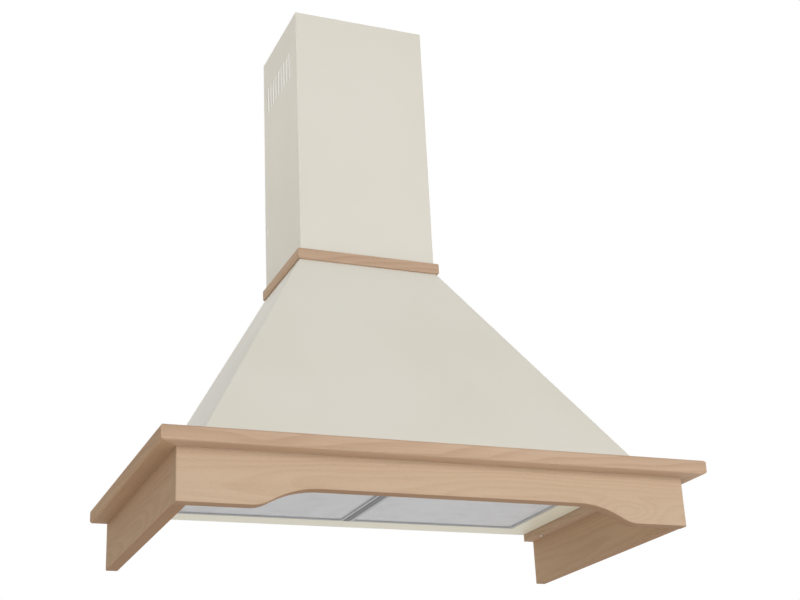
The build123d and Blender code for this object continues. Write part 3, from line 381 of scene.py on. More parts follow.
@dataclass(frozen=True)
class PlanedWood(Finish):
    """Planed, unfinished light hardwood, cut from a solid with rings and fibres."""

    along: Axis
    middle: Triple
    pith: Pair
    seed: float
    light: Colour
    dark: Colour
    fleck: Colour
    end: Colour
    lean: Pair = (0.03, 0.02)
    ring: float = 0.0046
    ring_share: float = 0.26
    ring_relief: float = 0.35
    late_wood: Pair = (0.20, 0.90)
    tone: float = 0.30
    contrast: float = 1.0
    knot: Triple | None = None
    knot_size: Pair = (0.062, 0.018)
    knot_push: float = 0.017
    wobble: float = 0.026
    drift_pitch: Pair = (2.2, 9.0)
    sway_pitch: Pair = (1.3, 5.0)
    grain_roughness: float = 0.56
    fibre: Grain = Grain(6.0, 420.0, 3.0, 0.30, 0.7)
    streak: Grain = Grain(1.6, 60.0, 3.0, 0.60)
    patch: Grain = Grain(3.0, 12.0, 2.0, 0.50)
    pore: Grain = Grain(190.0, 1500.0, 1.0, 0.28, 0.6)
    pore_window: Pair = (0.6, 0.75)
    cut_window: Pair = (0.72, 0.97)
    cut_share: float = 0.85
    # Painted shade on faces that look down: its range of facing, its strength and its patchiness.
    underside_shade_window: Pair = (0.30, 0.95)
    underside_shade_share: float = 0.75
    underside_shade_patch: float = 0.5
    underside_shade: float = 0.0
    roughness: float = 0.54
    fibre_roughness: float = 0.16
    polish: float = 0.12
    relief_depth: float = 0.00008
    relief_strength: float = 0.5

    def lay(self, bench: Bench) -> None:
        """Lay out the rings, the fibres, the pores, the end grain and the painted shade on faces
        that look down.

        Args:
            bench: The material's bench.
        """
        numbers = bench.parts(bench.place())
        run, across, height = (numbers[index] - self.middle[index] for index in self.along.value)
        board = (run, across, height)
        ring = bench.maths("FRACT", self._reach(bench, numbers, board) / self.ring)
        start, end = self.late_wood
        late = bench.window(ring, start, end) * (1 - bench.window(ring, end, 1.0))
        fibre = self._drawn(bench, board, self.fibre)
        streak = self._drawn(bench, board, self.streak)
        patch = self._drawn(bench, board, self.patch)
        pore = bench.window(self._drawn(bench, board, self.pore), *self.pore_window)
        share = late * self.ring_share
        for layer, grain in ((streak, self.streak), (fibre, self.fibre), (patch, self.patch)):
            share = share + (layer - 0.5) * grain.share
        share = bench.clamp(share * self.contrast + self.tone)
        colour = bench.blend(share, self.light, self.dark)
        colour = bench.blend(pore * self.pore.share, colour, self.fleck)
        facing = bench.parts(bench.wire("NewGeometry", "Normal"))
        along = bench.maths("ABSOLUTE", facing[self.along.value[0]])
        cut = bench.window(along, *self.cut_window) * self.cut_share
        colour = bench.blend(cut, colour, self.end)
        # Painted shade: faces that look down are darkened towards the fleck colour, patchy along
        # the grain.
        if self.underside_shade:
            edge = bench.window(-facing[2], *self.underside_shade_window)
            edge = edge * (self.underside_shade_share + self.underside_shade_patch * patch) * self.underside_shade
            colour = bench.blend(edge, colour, self.fleck)
        relief = 1 - late * self.ring_relief - pore * self.pore.relief
        relief = relief + (fibre - 0.5) * self.fibre.relief
        bench.surface(
            {
                "Base Color": colour,
                "Roughness": self.roughness + self.fibre_roughness * fibre,
                "Specular IOR Level": self.polish,
                "Normal": bench.bump(relief, self.relief_depth, self.relief_strength),
            }
        )

    def _drawn(self, bench: Bench, board: Sequence[Wire], grain: Grain) -> Wire:
        """Lay out one layer of the figure.

        Args:
            bench: The material's bench.
            board: Place on the board, along the fibres and in the two directions across.
            grain: The layer.

        Returns:
            A number between 0 and 1.
        """
        run, across, height = board
        fast = grain.fast
        point = bench.joined(
            run * grain.slow + self.seed, across * fast, height * fast + self.seed
        )
        return bench.cloud(
            point, scale=1.0, detail=grain.detail, roughness=self.grain_roughness
        )

    def _reach(self, bench: Bench, numbers: Sequence[Wire], board: Sequence[Wire]) -> Wire:
        """Work out the distance from the tree's pith, which the rings follow.

        Args:
            bench: The material's bench.
            numbers: Place on the hood.
            board: Place on the board, along the fibres and in the two directions across.

        Returns:
            The distance in metres.
        """
        run, across, height = board
        slow, fast = self.drift_pitch
        drift = bench.joined(run * slow + self.seed, across * fast, height * fast)
        drift = bench.cloud(drift, scale=1.0)
        slow, fast = self.sway_pitch
        sway = bench.joined(run * slow, across * fast + self.seed, height * fast)
        sway = bench.cloud(sway, scale=1.0, detail=1.0)
        out = across + run * self.lean[0] + (drift - 0.5) * self.wobble - self.pith[0]
        up = height + run * self.lean[1] + (sway - 0.5) * self.wobble - self.pith[1]
        reach = bench.maths("SQRT", out * out + up * up)
        if self.knot is None:
            return reach
        sizes = (self.knot_size[0], self.knot_size[0], self.knot_size[1])
        first, second, third = (
            ((number - centre) / size) ** 2.0
            for number, centre, size in zip(numbers, self.knot, sizes)
        )
        away = first + second + third
        return reach + bench.maths("EXPONENT", -away) * self.knot_push


@dataclass(frozen=True)
class SheetMetal(Finish):
    """Bare or plated metal with fine brushing, grime and, on zinc, a spangle."""

    colour: Colour
    shade: Colour
    along: Axis = Axis.X
    roughness: float = 0.36
    spangle: float = 0.0
    spangle_scale: float = 150.0
    spangle_roughness: float = 0.12
    metallic: float = 1.0
    specular: float = 0.5
    brush_pitch: Pair = (40.0, 2600.0)
    brush_window: Pair = (0.3, 0.8)
    brush_share: float = 0.22
    brush_roughness: float = 0.16
    brush_depth: float = 0.00002
    brush_strength: float = 0.4
    grime_scale: float = 26.0
    grime_window: Pair = (0.40, 0.78)
    grime_share: float = 0.5
    grime_roughness: float = 0.10

    def lay(self, bench: Bench) -> None:
        """Lay out the brushing, the grime and the spangle.

        Args:
            bench: The material's bench.
        """
        point = bench.place()
        numbers = bench.parts(point)
        slow, fast = self.brush_pitch
        run, across, height = (numbers[index] for index in self.along.value)
        brushing = bench.joined(run * slow, across * fast, height * fast)
        brushing = bench.cloud(brushing, scale=1.0)
        grime = bench.cloud(point, self.grime_scale, detail=4.0)
        grimy = bench.window(grime, *self.grime_window) * self.grime_share
        colour = bench.blend(grimy, self.colour, self.shade)
        brushed = bench.window(brushing, *self.brush_window) * self.brush_share
        colour = bench.blend(brushed, colour, self.shade)
        rough = self.roughness + self.brush_roughness * brushing + self.grime_roughness * grime
        if self.spangle:
            inputs = {"Vector": point, "Scale": self.spangle_scale}
            cell = bench.wire("TexVoronoi", "Color", inputs=inputs)
            tone = bench.wire("SeparateColor", inputs={0: cell})
            colour = bench.blend(tone * self.spangle, colour, self.shade)
            rough = rough + tone * self.spangle_roughness
        bench.surface(
            {
                "Base Color": colour,
                "Metallic": self.metallic,
                "Specular IOR Level": self.specular,
                "Roughness": rough,
                "Normal": bench.bump(brushing, self.brush_depth, self.brush_strength),
            }
        )


@dataclass(frozen=True)
class MeshLayers(Finish):
    """Deeper layers of fine expanded mesh, seen between the strands of the first, in painted shade.
    """

    strand: Colour
    gap_shade: Colour
    wide: float = 0.0052
    high: float = 0.0030
    strand_window: Pair = (0.10, 0.22)
    wobble_scale: float = 34.0
    wobble: float = 0.35
    under_scale: float = 700.0
    under_window: Pair = (0.35, 0.7)
    under_share: float = 0.6
    under_relief: float = 0.35
    mottle_scale: float = 22.0
    mottle_window: Pair = (0.35, 0.8)
    mottle_share: float = 0.22
    metallic: float = 0.35
    roughness: float = 0.60
    strand_polish: float = 0.16
    relief_depth: float = 0.0005
    relief_strength: float = 0.55

    def lay(self, bench: Bench) -> None:
        """Lay out two crossing sets of strands and the painted shade between them.

        Args:
            bench: The material's bench.
        """
        point = bench.place()
        wobble = (bench.cloud(point, self.wobble_scale) - 0.5) * self.wobble
        first, second, _ = bench.parts(point)
        run = first / self.wide + wobble
        step = second / self.high + wobble
        rising = bench.maths("PINGPONG", run + step, 0.5)
        falling = bench.maths("PINGPONG", run - step, 0.5)
        nearest = bench.maths("MINIMUM", rising, falling)
        strand = 1 - bench.window(nearest, *self.strand_window)
        under = bench.cloud(point, self.under_scale)
        mottle = bench.cloud(point, self.mottle_scale, detail=3.0)
        # Painted shade: between the strands the deeper layers take the dark gap colour, lighter in
        # random patches.
        deeper = bench.window(under, *self.under_window) * self.under_share
        behind = bench.blend(deeper, self.gap_shade, self.strand)
        colour = bench.blend(strand, behind, self.strand)
        # Random dull patches, which lean towards the same painted-shade colour.
        dull = bench.window(mottle, *self.mottle_window) * self.mottle_share
        colour = bench.blend(dull, colour, self.gap_shade)
        relief = strand + under * self.under_relief
        bench.surface(
            {
                "Base Color": colour,
                "Metallic": self.metallic,
                "Roughness": self.roughness - self.strand_polish * strand,
                "Normal": bench.bump(relief, self.relief_depth, self.relief_strength),
            }
        )


@dataclass(frozen=True)
class MouldedPlastic(Finish):
    """Moulded plastic with a fine spark-eroded grain."""

    colour: Colour
    worn: Colour
    roughness: float = 0.46
    grain_scale: float = 1500.0
    grain_roughness: float = 0.14
    grain_depth: float = 0.00005
    grain_strength: float = 0.5
    rub_scale: float = 45.0
    rub_window: Pair = (0.5, 0.8)
    rub_share: float = 0.45
    rub_polish: float = 0.08

    def lay(self, bench: Bench) -> None:
        """Lay out the grain and the rubbed patches.

        Args:
            bench: The material's bench.
        """
        point = bench.place()
        grain = bench.cloud(point, self.grain_scale, detail=3.0, roughness=0.6)
        rub = bench.cloud(point, self.rub_scale, detail=3.0)
        rubbed = bench.window(rub, *self.rub_window) * self.rub_share
        rough = self.roughness + self.grain_roughness * grain - self.rub_polish * rub
        bench.surface(
            {
                "Base Color": bench.blend(rubbed, self.colour, self.worn),
                "Roughness": rough,
                "Normal": bench.bump(grain, self.grain_depth, self.grain_strength),
            }
        )


@dataclass(frozen=True)
class FrostedGlass(Finish):
    """Lightly frosted cover glass of a lamp."""

    colour: Colour
    cloudy: Colour
    cloudy_scale: float = 60.0
    cloudy_share: float = 0.3
    roughness: float = 0.24
    clearness: float = 0.85
    refraction: float = 1.47
    frost_scale: float = 2200.0
    frost_roughness: float = 0.12
    frost_depth: float = 0.00002
    frost_strength: float = 0.4

    def lay(self, bench: Bench) -> None:
        """Lay out the frost.

        Args:
            bench: The material's bench.
        """
        point = bench.place()
        frost = bench.cloud(point, self.frost_scale)
        clouded = bench.cloud(point, self.cloudy_scale) * self.cloudy_share
        bench.surface(
            {
                "Base Color": bench.blend(clouded, self.colour, self.cloudy),
                "Roughness": self.roughness + self.frost_roughness * frost,
                "Transmission Weight": self.clearness,
                "IOR": self.refraction,
                "Normal": bench.bump(frost, self.frost_depth, self.frost_strength),
            }
        )


@dataclass(frozen=True)
class Print(Finish):
    """Ink, or a thin lacquer, that lies a little unevenly on another surface."""

    colour: Colour
    thin: Colour
    roughness: float = 0.5
    uneven_scale: float = 800.0
    uneven_share: float = 0.5
    uneven_roughness: float = 0.1

    def lay(self, bench: Bench) -> None:
        """Lay out the uneven ink.

        Args:
            bench: The material's bench.
        """
        uneven = bench.cloud(bench.place(), self.uneven_scale)
        bench.surface(
            {
                "Base Color": bench.blend(uneven * self.uneven_share, self.colour, self.thin),
                "Roughness": self.roughness + self.uneven_roughness * uneven,
            }
        )


class Coats:
    """The painted and lacquered finishes."""

    beige = PowderCoat("beige_coat", tint(221, 217, 206), tint(213, 208, 193))
    # Painted light: a lighter copy of the beige coat, for the base panel that faces down into
    # shade.
    panel = PowderCoat("panel_coat_painted_light", tint(233, 229, 211), tint(226, 221, 201))
    rail = PowderCoat("rail_grey", tint(122, 122, 124), tint(106, 106, 109), 0.42)
    motor = PowderCoat("motor_lacquer", tint(58, 58, 61), tint(76, 76, 78), 0.40, 0.5, 0.3)
    ink = Print("control_ink", tint(60, 60, 62), tint(86, 86, 88))
    phosphor = Print("diode_phosphor", tint(236, 206, 84), tint(244, 226, 150), 0.35)


class Metals:
    """The bare and plated metals."""

    zinc = SheetMetal("zinc_sheet", tint(196, 198, 200), tint(160, 163, 166), Axis.X, 0.34, 0.55)
    wheel = SheetMetal("zinc_wheel", tint(190, 192, 194), tint(150, 152, 155), Axis.X, 0.32, 0.25)
    screw = SheetMetal("zinc_screw", tint(214, 213, 208), tint(178, 176, 168), Axis.Z, 0.26)
    # Painted shade: a dark zinc for the floor of the screws' cross recesses.
    recess = SheetMetal("screw_recess_shade", tint(92, 92, 90), tint(70, 70, 68), Axis.Z, 0.5)
    frame = SheetMetal(
        "filter_aluminium",
        tint(184, 185, 187),
        tint(167, 168, 171),
        roughness=0.5,
        metallic=0.12,
        specular=0.3,
    )
    strand = SheetMetal(
        "filter_strand", tint(227, 228, 230), tint(208, 208, 211), roughness=0.38, metallic=0.30
    )
    steel = SheetMetal("drawn_steel", tint(178, 179, 181), tint(140, 142, 145), Axis.X, 0.30)
    chrome = SheetMetal("polished_chrome", tint(224, 225, 227), tint(200, 201, 204), Axis.X, 0.08)
    # Its darker colour is painted shade in the gaps between the strands.
    layers = MeshLayers("filter_layers", tint(228, 228, 231), tint(190, 191, 195))


class Plastics:
    """The moulded plastics and the lamp glass."""

    black = MouldedPlastic("black_plastic", tint(38, 38, 40), tint(62, 62, 64))
    grey = MouldedPlastic("grey_plastic", tint(160, 161, 162), tint(180, 180, 180), 0.5)
    control = MouldedPlastic("control_plastic", tint(206, 203, 192), tint(190, 186, 174), 0.42)
    board = MouldedPlastic("lamp_board", tint(236, 236, 230), tint(216, 216, 208), 0.55)
    glass = FrostedGlass("lamp_glass", tint(238, 242, 243), tint(214, 220, 222))


# ------------------------------------------------------------------ shapes


class Shape:
    """A mesh under construction, made of simple closed forms."""

    def __init__(self) -> None:
        """Start with an empty mesh."""
        self.mesh = bmesh.new()

    def lathe(self, profile: Sequence[Pair], steps: int, place: Matrix) -> None:
        """Turn a closed profile round the local Z axis.

        Args:
            profile: Radius and height of each corner, from the axis back to the axis.
            steps: Number of steps round the axis.
            place: Place and direction of the axis.
        """
        rings = []
        for radius, height in profile:
            ring = []
            count = steps if radius > 0 else 1
            for step in range(count):
                turn = 2 * math.pi * step / count
                corner = Vector((radius * math.cos(turn), radius * math.sin(turn), height))
                ring.append(self.mesh.verts.new(place @ corner))
            rings.append(ring)
        for lower, upper in zip(rings, rings[1:]):
            for step in range(steps):
                after = (step + 1) % steps
                around = [lower[step % len(lower)], lower[after % len(lower)]]
                around += [upper[after % len(upper)], upper[step % len(upper)]]
                distinct = list(dict.fromkeys(around))
                if len(distinct) > 2:
                    self.mesh.faces.new(distinct)

    def block(self, low: Triple, high: Triple, bevel: float = 0.0) -> None:
        """Add a box, with bevelled edges where a bevel is given.

        Args:
            low: Lowest corner.
            high: Highest corner.
            bevel: Width of the bevel on every edge.
        """
        outline = ((low[0], low[1]), (high[0], low[1]), (high[0], high[1]), (low[0], high[1]))
        corners = self.slab(outline, low[2], high[2])
        if bevel:
            edges = list({edge for corner in corners for edge in corner.link_edges})
            bmesh.ops.bevel(
                self.mesh, geom=edges, offset=bevel, segments=2, profile=0.5, affect="EDGES"
            )

    def slab(
        self, outline: Sequence[Pair], low: float, high: float
    ) -> list[bmesh.types.BMVert]:
        """Add a flat slab with an outline, between two heights, and return its corners."""
        ends = [Vector((0.0, 0.0, height)) for height in (low, high)]
        return self.ribbon(ends, [Vector((x, y, 0.0)) for x, y in outline])

    def ribbon(
        self, points: Sequence[Vector], section: Sequence[Vector]
    ) -> list[bmesh.types.BMVert]:
        """Draw a closed section along a line of points, and close both ends.

        Args:
            points: The line.
            section: Corners of the section, as steps from each point.

        Returns:
            The corners of all sections, in order.
        """
        rings = [[self.mesh.verts.new(point + step) for step in section] for point in points]
        for before, behind in zip(rings, rings[1:]):
            for step in range(len(section)):
                after = (step + 1) % len(section)
                self.mesh.faces.new([before[step], before[after], behind[after], behind[step]])
        self.mesh.faces.new(list(reversed(rings[0])))
        self.mesh.faces.new(rings[-1])
        return [corner for ring in rings for corner in ring]

    def finish(self, name: str, smooth_below: float = 40.0) -> bpy.types.Object:
        """Turn the shape into an object of the scene.

        Args:
            name: The piece's name.
            smooth_below: Edges flatter than this angle, in degrees, are shaded smooth.

        Returns:
            The new object.
        """
        bmesh.ops.recalc_face_normals(self.mesh, faces=self.mesh.faces)
        for face in self.mesh.faces:
            face.smooth = True
        for edge in self.mesh.edges:
            if len(edge.link_faces) == 2:
                edge.smooth = edge.calc_face_angle(0.0) < math.radians(smooth_below)
        data = bpy.data.meshes.new(name)
        self.mesh.to_mesh(data)
        self.mesh.free()
        made = bpy.data.objects.new(name, data)
        bpy.context.scene.collection.objects.link(made)
        return made


# ------------------------------------------------------------------ assemblies


@dataclass
class Assembly:
    """A group of pieces that belong together on the hood."""

    frame: dict[str, Any]
    built: list[str] = field(default_factory=list)

    def build(self) -> None:
        """Dress the group's solids and add its fine pieces."""
        raise NotImplementedError

    def dress(self, finish: Finish, *nodes: str) -> None:
        """Give some of the model's solids their finish.

        Args:
            finish: The finish.
            nodes: Names of the solids.
        """
        for node in nodes:
            self._coat(self.frame["nodes"][node], finish)
            self.built.append(node)

    def add(
        self,
        piece: bpy.types.Object,
        finish: Finish,
        body: str,
        slot: str,
        replaced: Iterable[str] = (),
    ) -> None:
        """Put a fine piece on the body that carries it.

        Args:
            piece: The piece, in place.
            finish: Its finish.
            body: The moving or fixed body that it rides on.
            slot: The model's material slot that it belongs to, which is not used.
            replaced: Solids that it stands for.
        """
        self._coat(piece, finish)
        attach(piece, body)
        for node in replaced:
            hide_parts(node)
        self.built.append(piece.name)

    @staticmethod
    def _coat(piece: bpy.types.Object, finish: Finish) -> None:
        """Give an object one material."""
        piece.data.materials.clear()
        piece.data.materials.append(finish.material())


@dataclass
class WoodenPortal(Assembly):
    """Cornice boards, aprons and the trim at the foot of the chimney."""

    knot_inset: float = 0.121
    knot_rise: float = 0.024
    pith_behind: float = 0.055
    pith_below: float = 0.016
    pith_step: Pair = (0.004, 0.003)
    first_seed: float = 1.3
    seed_step: float = 3.7
    apron_contrast: float = 0.9
    cornice_contrast: float = 1.25
    # Strength of the painted shade on the aprons' downward faces.
    apron_underside_shade: float = 0.8
    cornice_tone: tuple[Triple, Triple] = ((200, 173, 148), (178, 147, 121))
    apron_tone: tuple[Triple, Triple] = ((202, 178, 152), (184, 156, 130))
    # Painted shade: darker, more saturated copies of the apron tone for the left boards and the
    # right apron, which stand in shade.
    left_shaded_tone: tuple[Triple, Triple] = ((187, 156, 124), (167, 134, 104))
    right_shaded_tone: tuple[Triple, Triple] = ((203, 173, 141), (183, 150, 119))
    fleck_tone: Triple = (150, 114, 84)
    end_tone: Triple = (172, 142, 112)

    def build(self) -> None:
        """Dress every board with fibres along its own length."""
        for order, (node, along) in enumerate(self._boards()):
            self.dress(self._finish(order, node, along), node)

    def _boards(self) -> list[tuple[str, Axis]]:
        """List the boards.

        Returns:
            Each board's name with the direction of its fibres.
        """
        boards = []
        for group in ("apron", "cornice", "trim"):
            boards.append((f"{group}_front", Axis.X))
            boards += [(f"{group}_{side}", Axis.Y) for side in SIDES]
        return boards

    def _finish(self, order: int, node: str, along: Axis) -> PlanedWood:
        """Choose how one board was cut from the tree, and give the left boards and the right apron
        darker tones of painted shade.

        Args:
            order: The board's number, which shifts its grain.
            node: The board's name.
            along: Direction of its fibres.

        Returns:
            The board's own finish.
        """
        low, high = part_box(node)
        is_apron = node.startswith("apron")
        light, dark = self.apron_tone if is_apron else self.cornice_tone
        # The left boards and the right apron take the painted-shade copies of the tone.
        if node in ("apron_left", "cornice_left"):
            light, dark = self.left_shaded_tone
        elif node == "apron_right":
            light, dark = self.right_shaded_tone
        knot = (high.x - self.knot_inset, low.y, low.z + self.knot_rise)
        behind = self.pith_behind + self.pith_step[0] * order
        below = self.pith_below + self.pith_step[1] * order
        return PlanedWood(
            name=f"wood_{node}",
            along=along,
            middle=tuple((low + high) / 2),
            pith=(behind, -below),
            seed=self.seed_step * order + self.first_seed,
            light=tint(*light),
            dark=tint(*dark),
            fleck=tint(*self.fleck_tone),
            end=tint(*self.end_tone),
            contrast=self.apron_contrast if is_apron else self.cornice_contrast,
            knot=knot if node == "apron_front" else None,
            underside_shade=self.apron_underside_shade if is_apron else 0.0,
        )


@dataclass
class SteelShell(Assembly):
    """Canopy, chimney, base panel and the sheets behind them."""

    def build(self) -> None:
        """Dress the painted sheets, the carrier plate and the rail."""
        self.dress(Coats.beige, "canopy_shell", "chimney_cover", "base_frame", "back_plate")
        # The base panel takes the lighter copy of the beige coat, painted light for its shaded
        # underside.
        self.dress(Coats.panel, "base_panel")
        self.dress(Metals.zinc, "top_plate")
        self.dress(Coats.rail, "filter_rail")


@dataclass
class GreaseFilter(Assembly):
    """One grease filter with its frame, pressed mesh pad and sprung latch."""

    side: str = "left"
    cell: float = 0.007
    undulation: float = 0.0007
    wave_pitch: float = 38.0
    fine_pitch: float = 150.0
    fine_share: float = 0.3
    layer_rise: float = 0.0010
    seat_gap: float = 0.0003
    lip: float = 0.0065
    frame_sheet: float = 0.0012
    crease_depth: float = 0.0024
    crease_width: float = 0.0030
    corner_radius: float = 0.009
    corner_steps: int = 6
    strand_pitch: float = 0.0032
    strand_step: float = 0.0050
    strand_width: float = 0.0010
    strand_height: float = 0.0005

    def build(self) -> None:
        """Dress the frame and the latch, and press the mesh pad."""
        body = f"filter_{self.side}"
        self.dress(Metals.frame, f"filter_frame_{self.side}")
        self.dress(Plastics.black, f"latch_seat_{self.side}", f"filter_latch_{self.side}")
        self.add(self._pad(), Metals.layers, body, "filter_mesh", [f"filter_mesh_{self.side}"])
        self.add(self._strands(), Metals.strand, body, "filter_mesh")
        self.add(self._corners(), Metals.frame, body, "filter_aluminium")

    def _margin(self) -> float:
        """Width of the pad's rim that the frame's lip covers."""
        pad, frame = (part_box(f"filter_{part}_{self.side}")[0] for part in ("mesh", "frame"))
        return self.lip - (pad.x - frame.x)

    def _notch(self) -> tuple[float, float, float]:
        """Left end, right end and rear end of the notch for the latch."""
        low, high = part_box(f"latch_seat_{self.side}")
        return (low.x - self.seat_gap, high.x + self.seat_gap, high.y + self.seat_gap)

    def _stops(self, low: float, high: float, cuts: Sequence[float]) -> list[float]:
        """Share out grid lines.

        Args:
            low: First line.
            high: Last line.
            cuts: Lines that have to be among them.

        Returns:
            The lines in order, about a cell apart.
        """
        lines = [low, *sorted(cuts), high]
        stops = [low]
        for start, end in zip(lines, lines[1:]):
            count = max(1, round((end - start) / self.cell))
            stops += [start + (end - start) * (step + 1) / count for step in range(count)]
        return stops

    def _lift(self, x: float, y: float, low: Vector, high: Vector) -> float:
        """Height of the pad's lower face above the solid's.

        Args:
            x: Place from left to right.
            y: Place from front to rear.
            low: Lowest corner of the pad.
            high: Highest corner of the pad.

        Returns:
            The height, which is largest in the crease beside the frame's lip.
        """
        inside = min(x - low.x, high.x - x, y - low.y, high.y - y) - self._margin()
        crease = max(0.0, 1.0 - max(0.0, inside) / self.crease_width)
        wave = noise.noise(Vector((x * self.wave_pitch, y * self.wave_pitch, 0.0)))
        fine = noise.noise(Vector((x * self.fine_pitch, y * self.fine_pitch, 1.0)))
        mixed = (1.0 - self.fine_share) * wave + self.fine_share * fine
        lift = self.layer_rise + self.undulation * (0.5 + 0.5 * mixed)
        return lift + self.crease_depth * crease

    def _pad(self) -> bpy.types.Object:
        """Press the mesh pad, whose lower face undulates like stacked layers.

        Returns:
            The pad, with a notch for the latch.
        """
        low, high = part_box(f"filter_mesh_{self.side}")
        notch_left, notch_right, notch_rear = self._notch()
        rims = (self._margin(), self._margin() + self.crease_width)
        across = [place for rim in rims for place in (low.x + rim, high.x - rim)]
        along = [place for rim in rims for place in (low.y + rim, high.y - rim)]
        across = self._stops(low.x, high.x, [*across, notch_left, notch_right])
        along = self._stops(low.y, high.y, [*along, notch_rear])
        filled = {
            (i, j)
            for i in range(len(across) - 1)
            for j in range(len(along) - 1)
            if not (
                notch_left < (across[i] + across[i + 1]) / 2 < notch_right
                and (along[j] + along[j + 1]) / 2 < notch_rear
            )
        }
        shape = Shape()
        corners: dict[tuple[int, int, bool], bmesh.types.BMVert] = {}

        def corner(place: tuple[int, int], is_top: bool) -> bmesh.types.BMVert:
            """Find or make one corner of the grid.

            Args:
                place: Its number in both directions.
                is_top: Whether it is on the pad's upper face.

            Returns:
                The corner.
            """
            key = (*place, is_top)
            if key not in corners:
                x, y = across[place[0]], along[place[1]]
                z = high.z if is_top else low.z + self._lift(x, y, low, high)
                corners[key] = shape.mesh.verts.new((x, y, z))
            return corners[key]

        for i, j in sorted(filled):
            around = ((i, j), (i + 1, j), (i + 1, j + 1), (i, j + 1))
            beside = ((i, j - 1), (i + 1, j), (i, j + 1), (i - 1, j))
            shape.mesh.faces.new([corner(place, False) for place in reversed(around)])
            shape.mesh.faces.new([corner(place, True) for place in around])
            for number, neighbour in enumerate(beside):
                if neighbour not in filled:
                    first, second = around[number], around[(number + 1) % len(around)]
                    wall = [corner(first, False), corner(second, False)]
                    wall += [corner(second, True), corner(first, True)]
                    shape.mesh.faces.new(wall)
        return shape.finish(f"filter_pad_{self.side}", smooth_below=50.0)

    def _strands(self) -> bpy.types.Object:
        """Draw the outer layer of expanded mesh, as rows of zigzag strands.

        Returns:
            The strands, which leave the latch's notch free.
        """
        low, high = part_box(f"filter_mesh_{self.side}")
        notch_left, notch_right, notch_rear = self._notch()
        margin = self._margin()
        left, right = low.x + margin, high.x - margin
        front, rear = low.y + margin, high.y - margin
        rows = int((rear - front) / self.strand_pitch)
        steps = int((right - left) / self.strand_step)
        half = self.strand_width / 2
        section = [Vector((0, 0, 0)), Vector((0, half, self.strand_height))]
        section.append(Vector((0, -half, self.strand_height)))
        shape = Shape()
        for row in range(rows):
            y = front + (row + 0.5) * (rear - front) / rows
            line: list[Vector] = []
            for step in range(steps + 1):
                x = left + step * (right - left) / steps
                swing = self.strand_pitch / 2 * (1 if (row + step) % 2 else -1)
                is_beside = notch_left - half < x < notch_right + half
                if is_beside and y < notch_rear + self.strand_pitch:
                    self._draw(shape, line, section)
                    line = []
                else:
                    line.append(Vector((x, y + swing, low.z)))
            self._draw(shape, line, section)
        return shape.finish(f"filter_strands_{self.side}", smooth_below=20.0)

    @staticmethod
    def _draw(shape: Shape, line: list[Vector], section: Sequence[Vector]) -> None:
        """Draw one strand where its line has any length."""
        if len(line) > 1:
            shape.ribbon(line, section)

    def _corners(self) -> bpy.types.Object:
        """Round the four inner corners of the frame's lip.

        Returns:
            The four small fillets.
        """
        low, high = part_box(f"filter_mesh_{self.side}")
        margin = self._margin()
        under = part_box(f"filter_frame_{self.side}")[0].z
        shape = Shape()
        for right in (False, True):
            for rear in (False, True):
                x = high.x - margin if right else low.x + margin
                y = high.y - margin if rear else low.y + margin
                inward = (-1 if right else 1, -1 if rear else 1)
                outline = [(x, y)]
                for step in range(self.corner_steps + 1):
                    turn = math.pi / 2 * step / self.corner_steps
                    reach = (1 - math.sin(turn), 1 - math.cos(turn))
                    outline.append(
                        (
                            x + inward[0] * self.corner_radius * reach[0],
                            y + inward[1] * self.corner_radius * reach[1],
                        )
                    )
                shape.slab(outline, under, under + self.frame_sheet)
        return shape.finish(f"filter_corners_{self.side}")


@dataclass
class Blower(Assembly):
    """Blower housing, impeller and motor inside the canopy."""

    def build(self) -> None:
        """Dress the housing, the wheel and the drive."""
        for side in SIDES:
            self.dress(Metals.zinc, f"scroll_side_{side}")
            self.dress(Plastics.black, f"inlet_ring_{side}")
        self.dress(Metals.zinc, "blower_flange", "motor_bracket")
        self.dress(Metals.wheel, "impeller_disc", "impeller_rings", "impeller_blades")
        self.dress(Plastics.black, "scroll_band")
        self.dress(Coats.motor, "motor")
        self.dress(Metals.steel, "motor_shaft")
        self.dress(Plastics.grey, "capacitor")


@dataclass
class DuctCollar(Assembly):
    """Duct spigot with its flaps, and the mains connection beside it."""

    def build(self) -> None:
        """Dress the spigot, the flaps and the terminal box."""
        self.dress(Plastics.black, "outlet_collar", "flap_left", "flap_right")
        self.dress(Plastics.black, "cable_gland", "terminal_cover")
        self.dress(Metals.steel, "flap_rod")
        self.dress(Plastics.grey, "terminal_box")


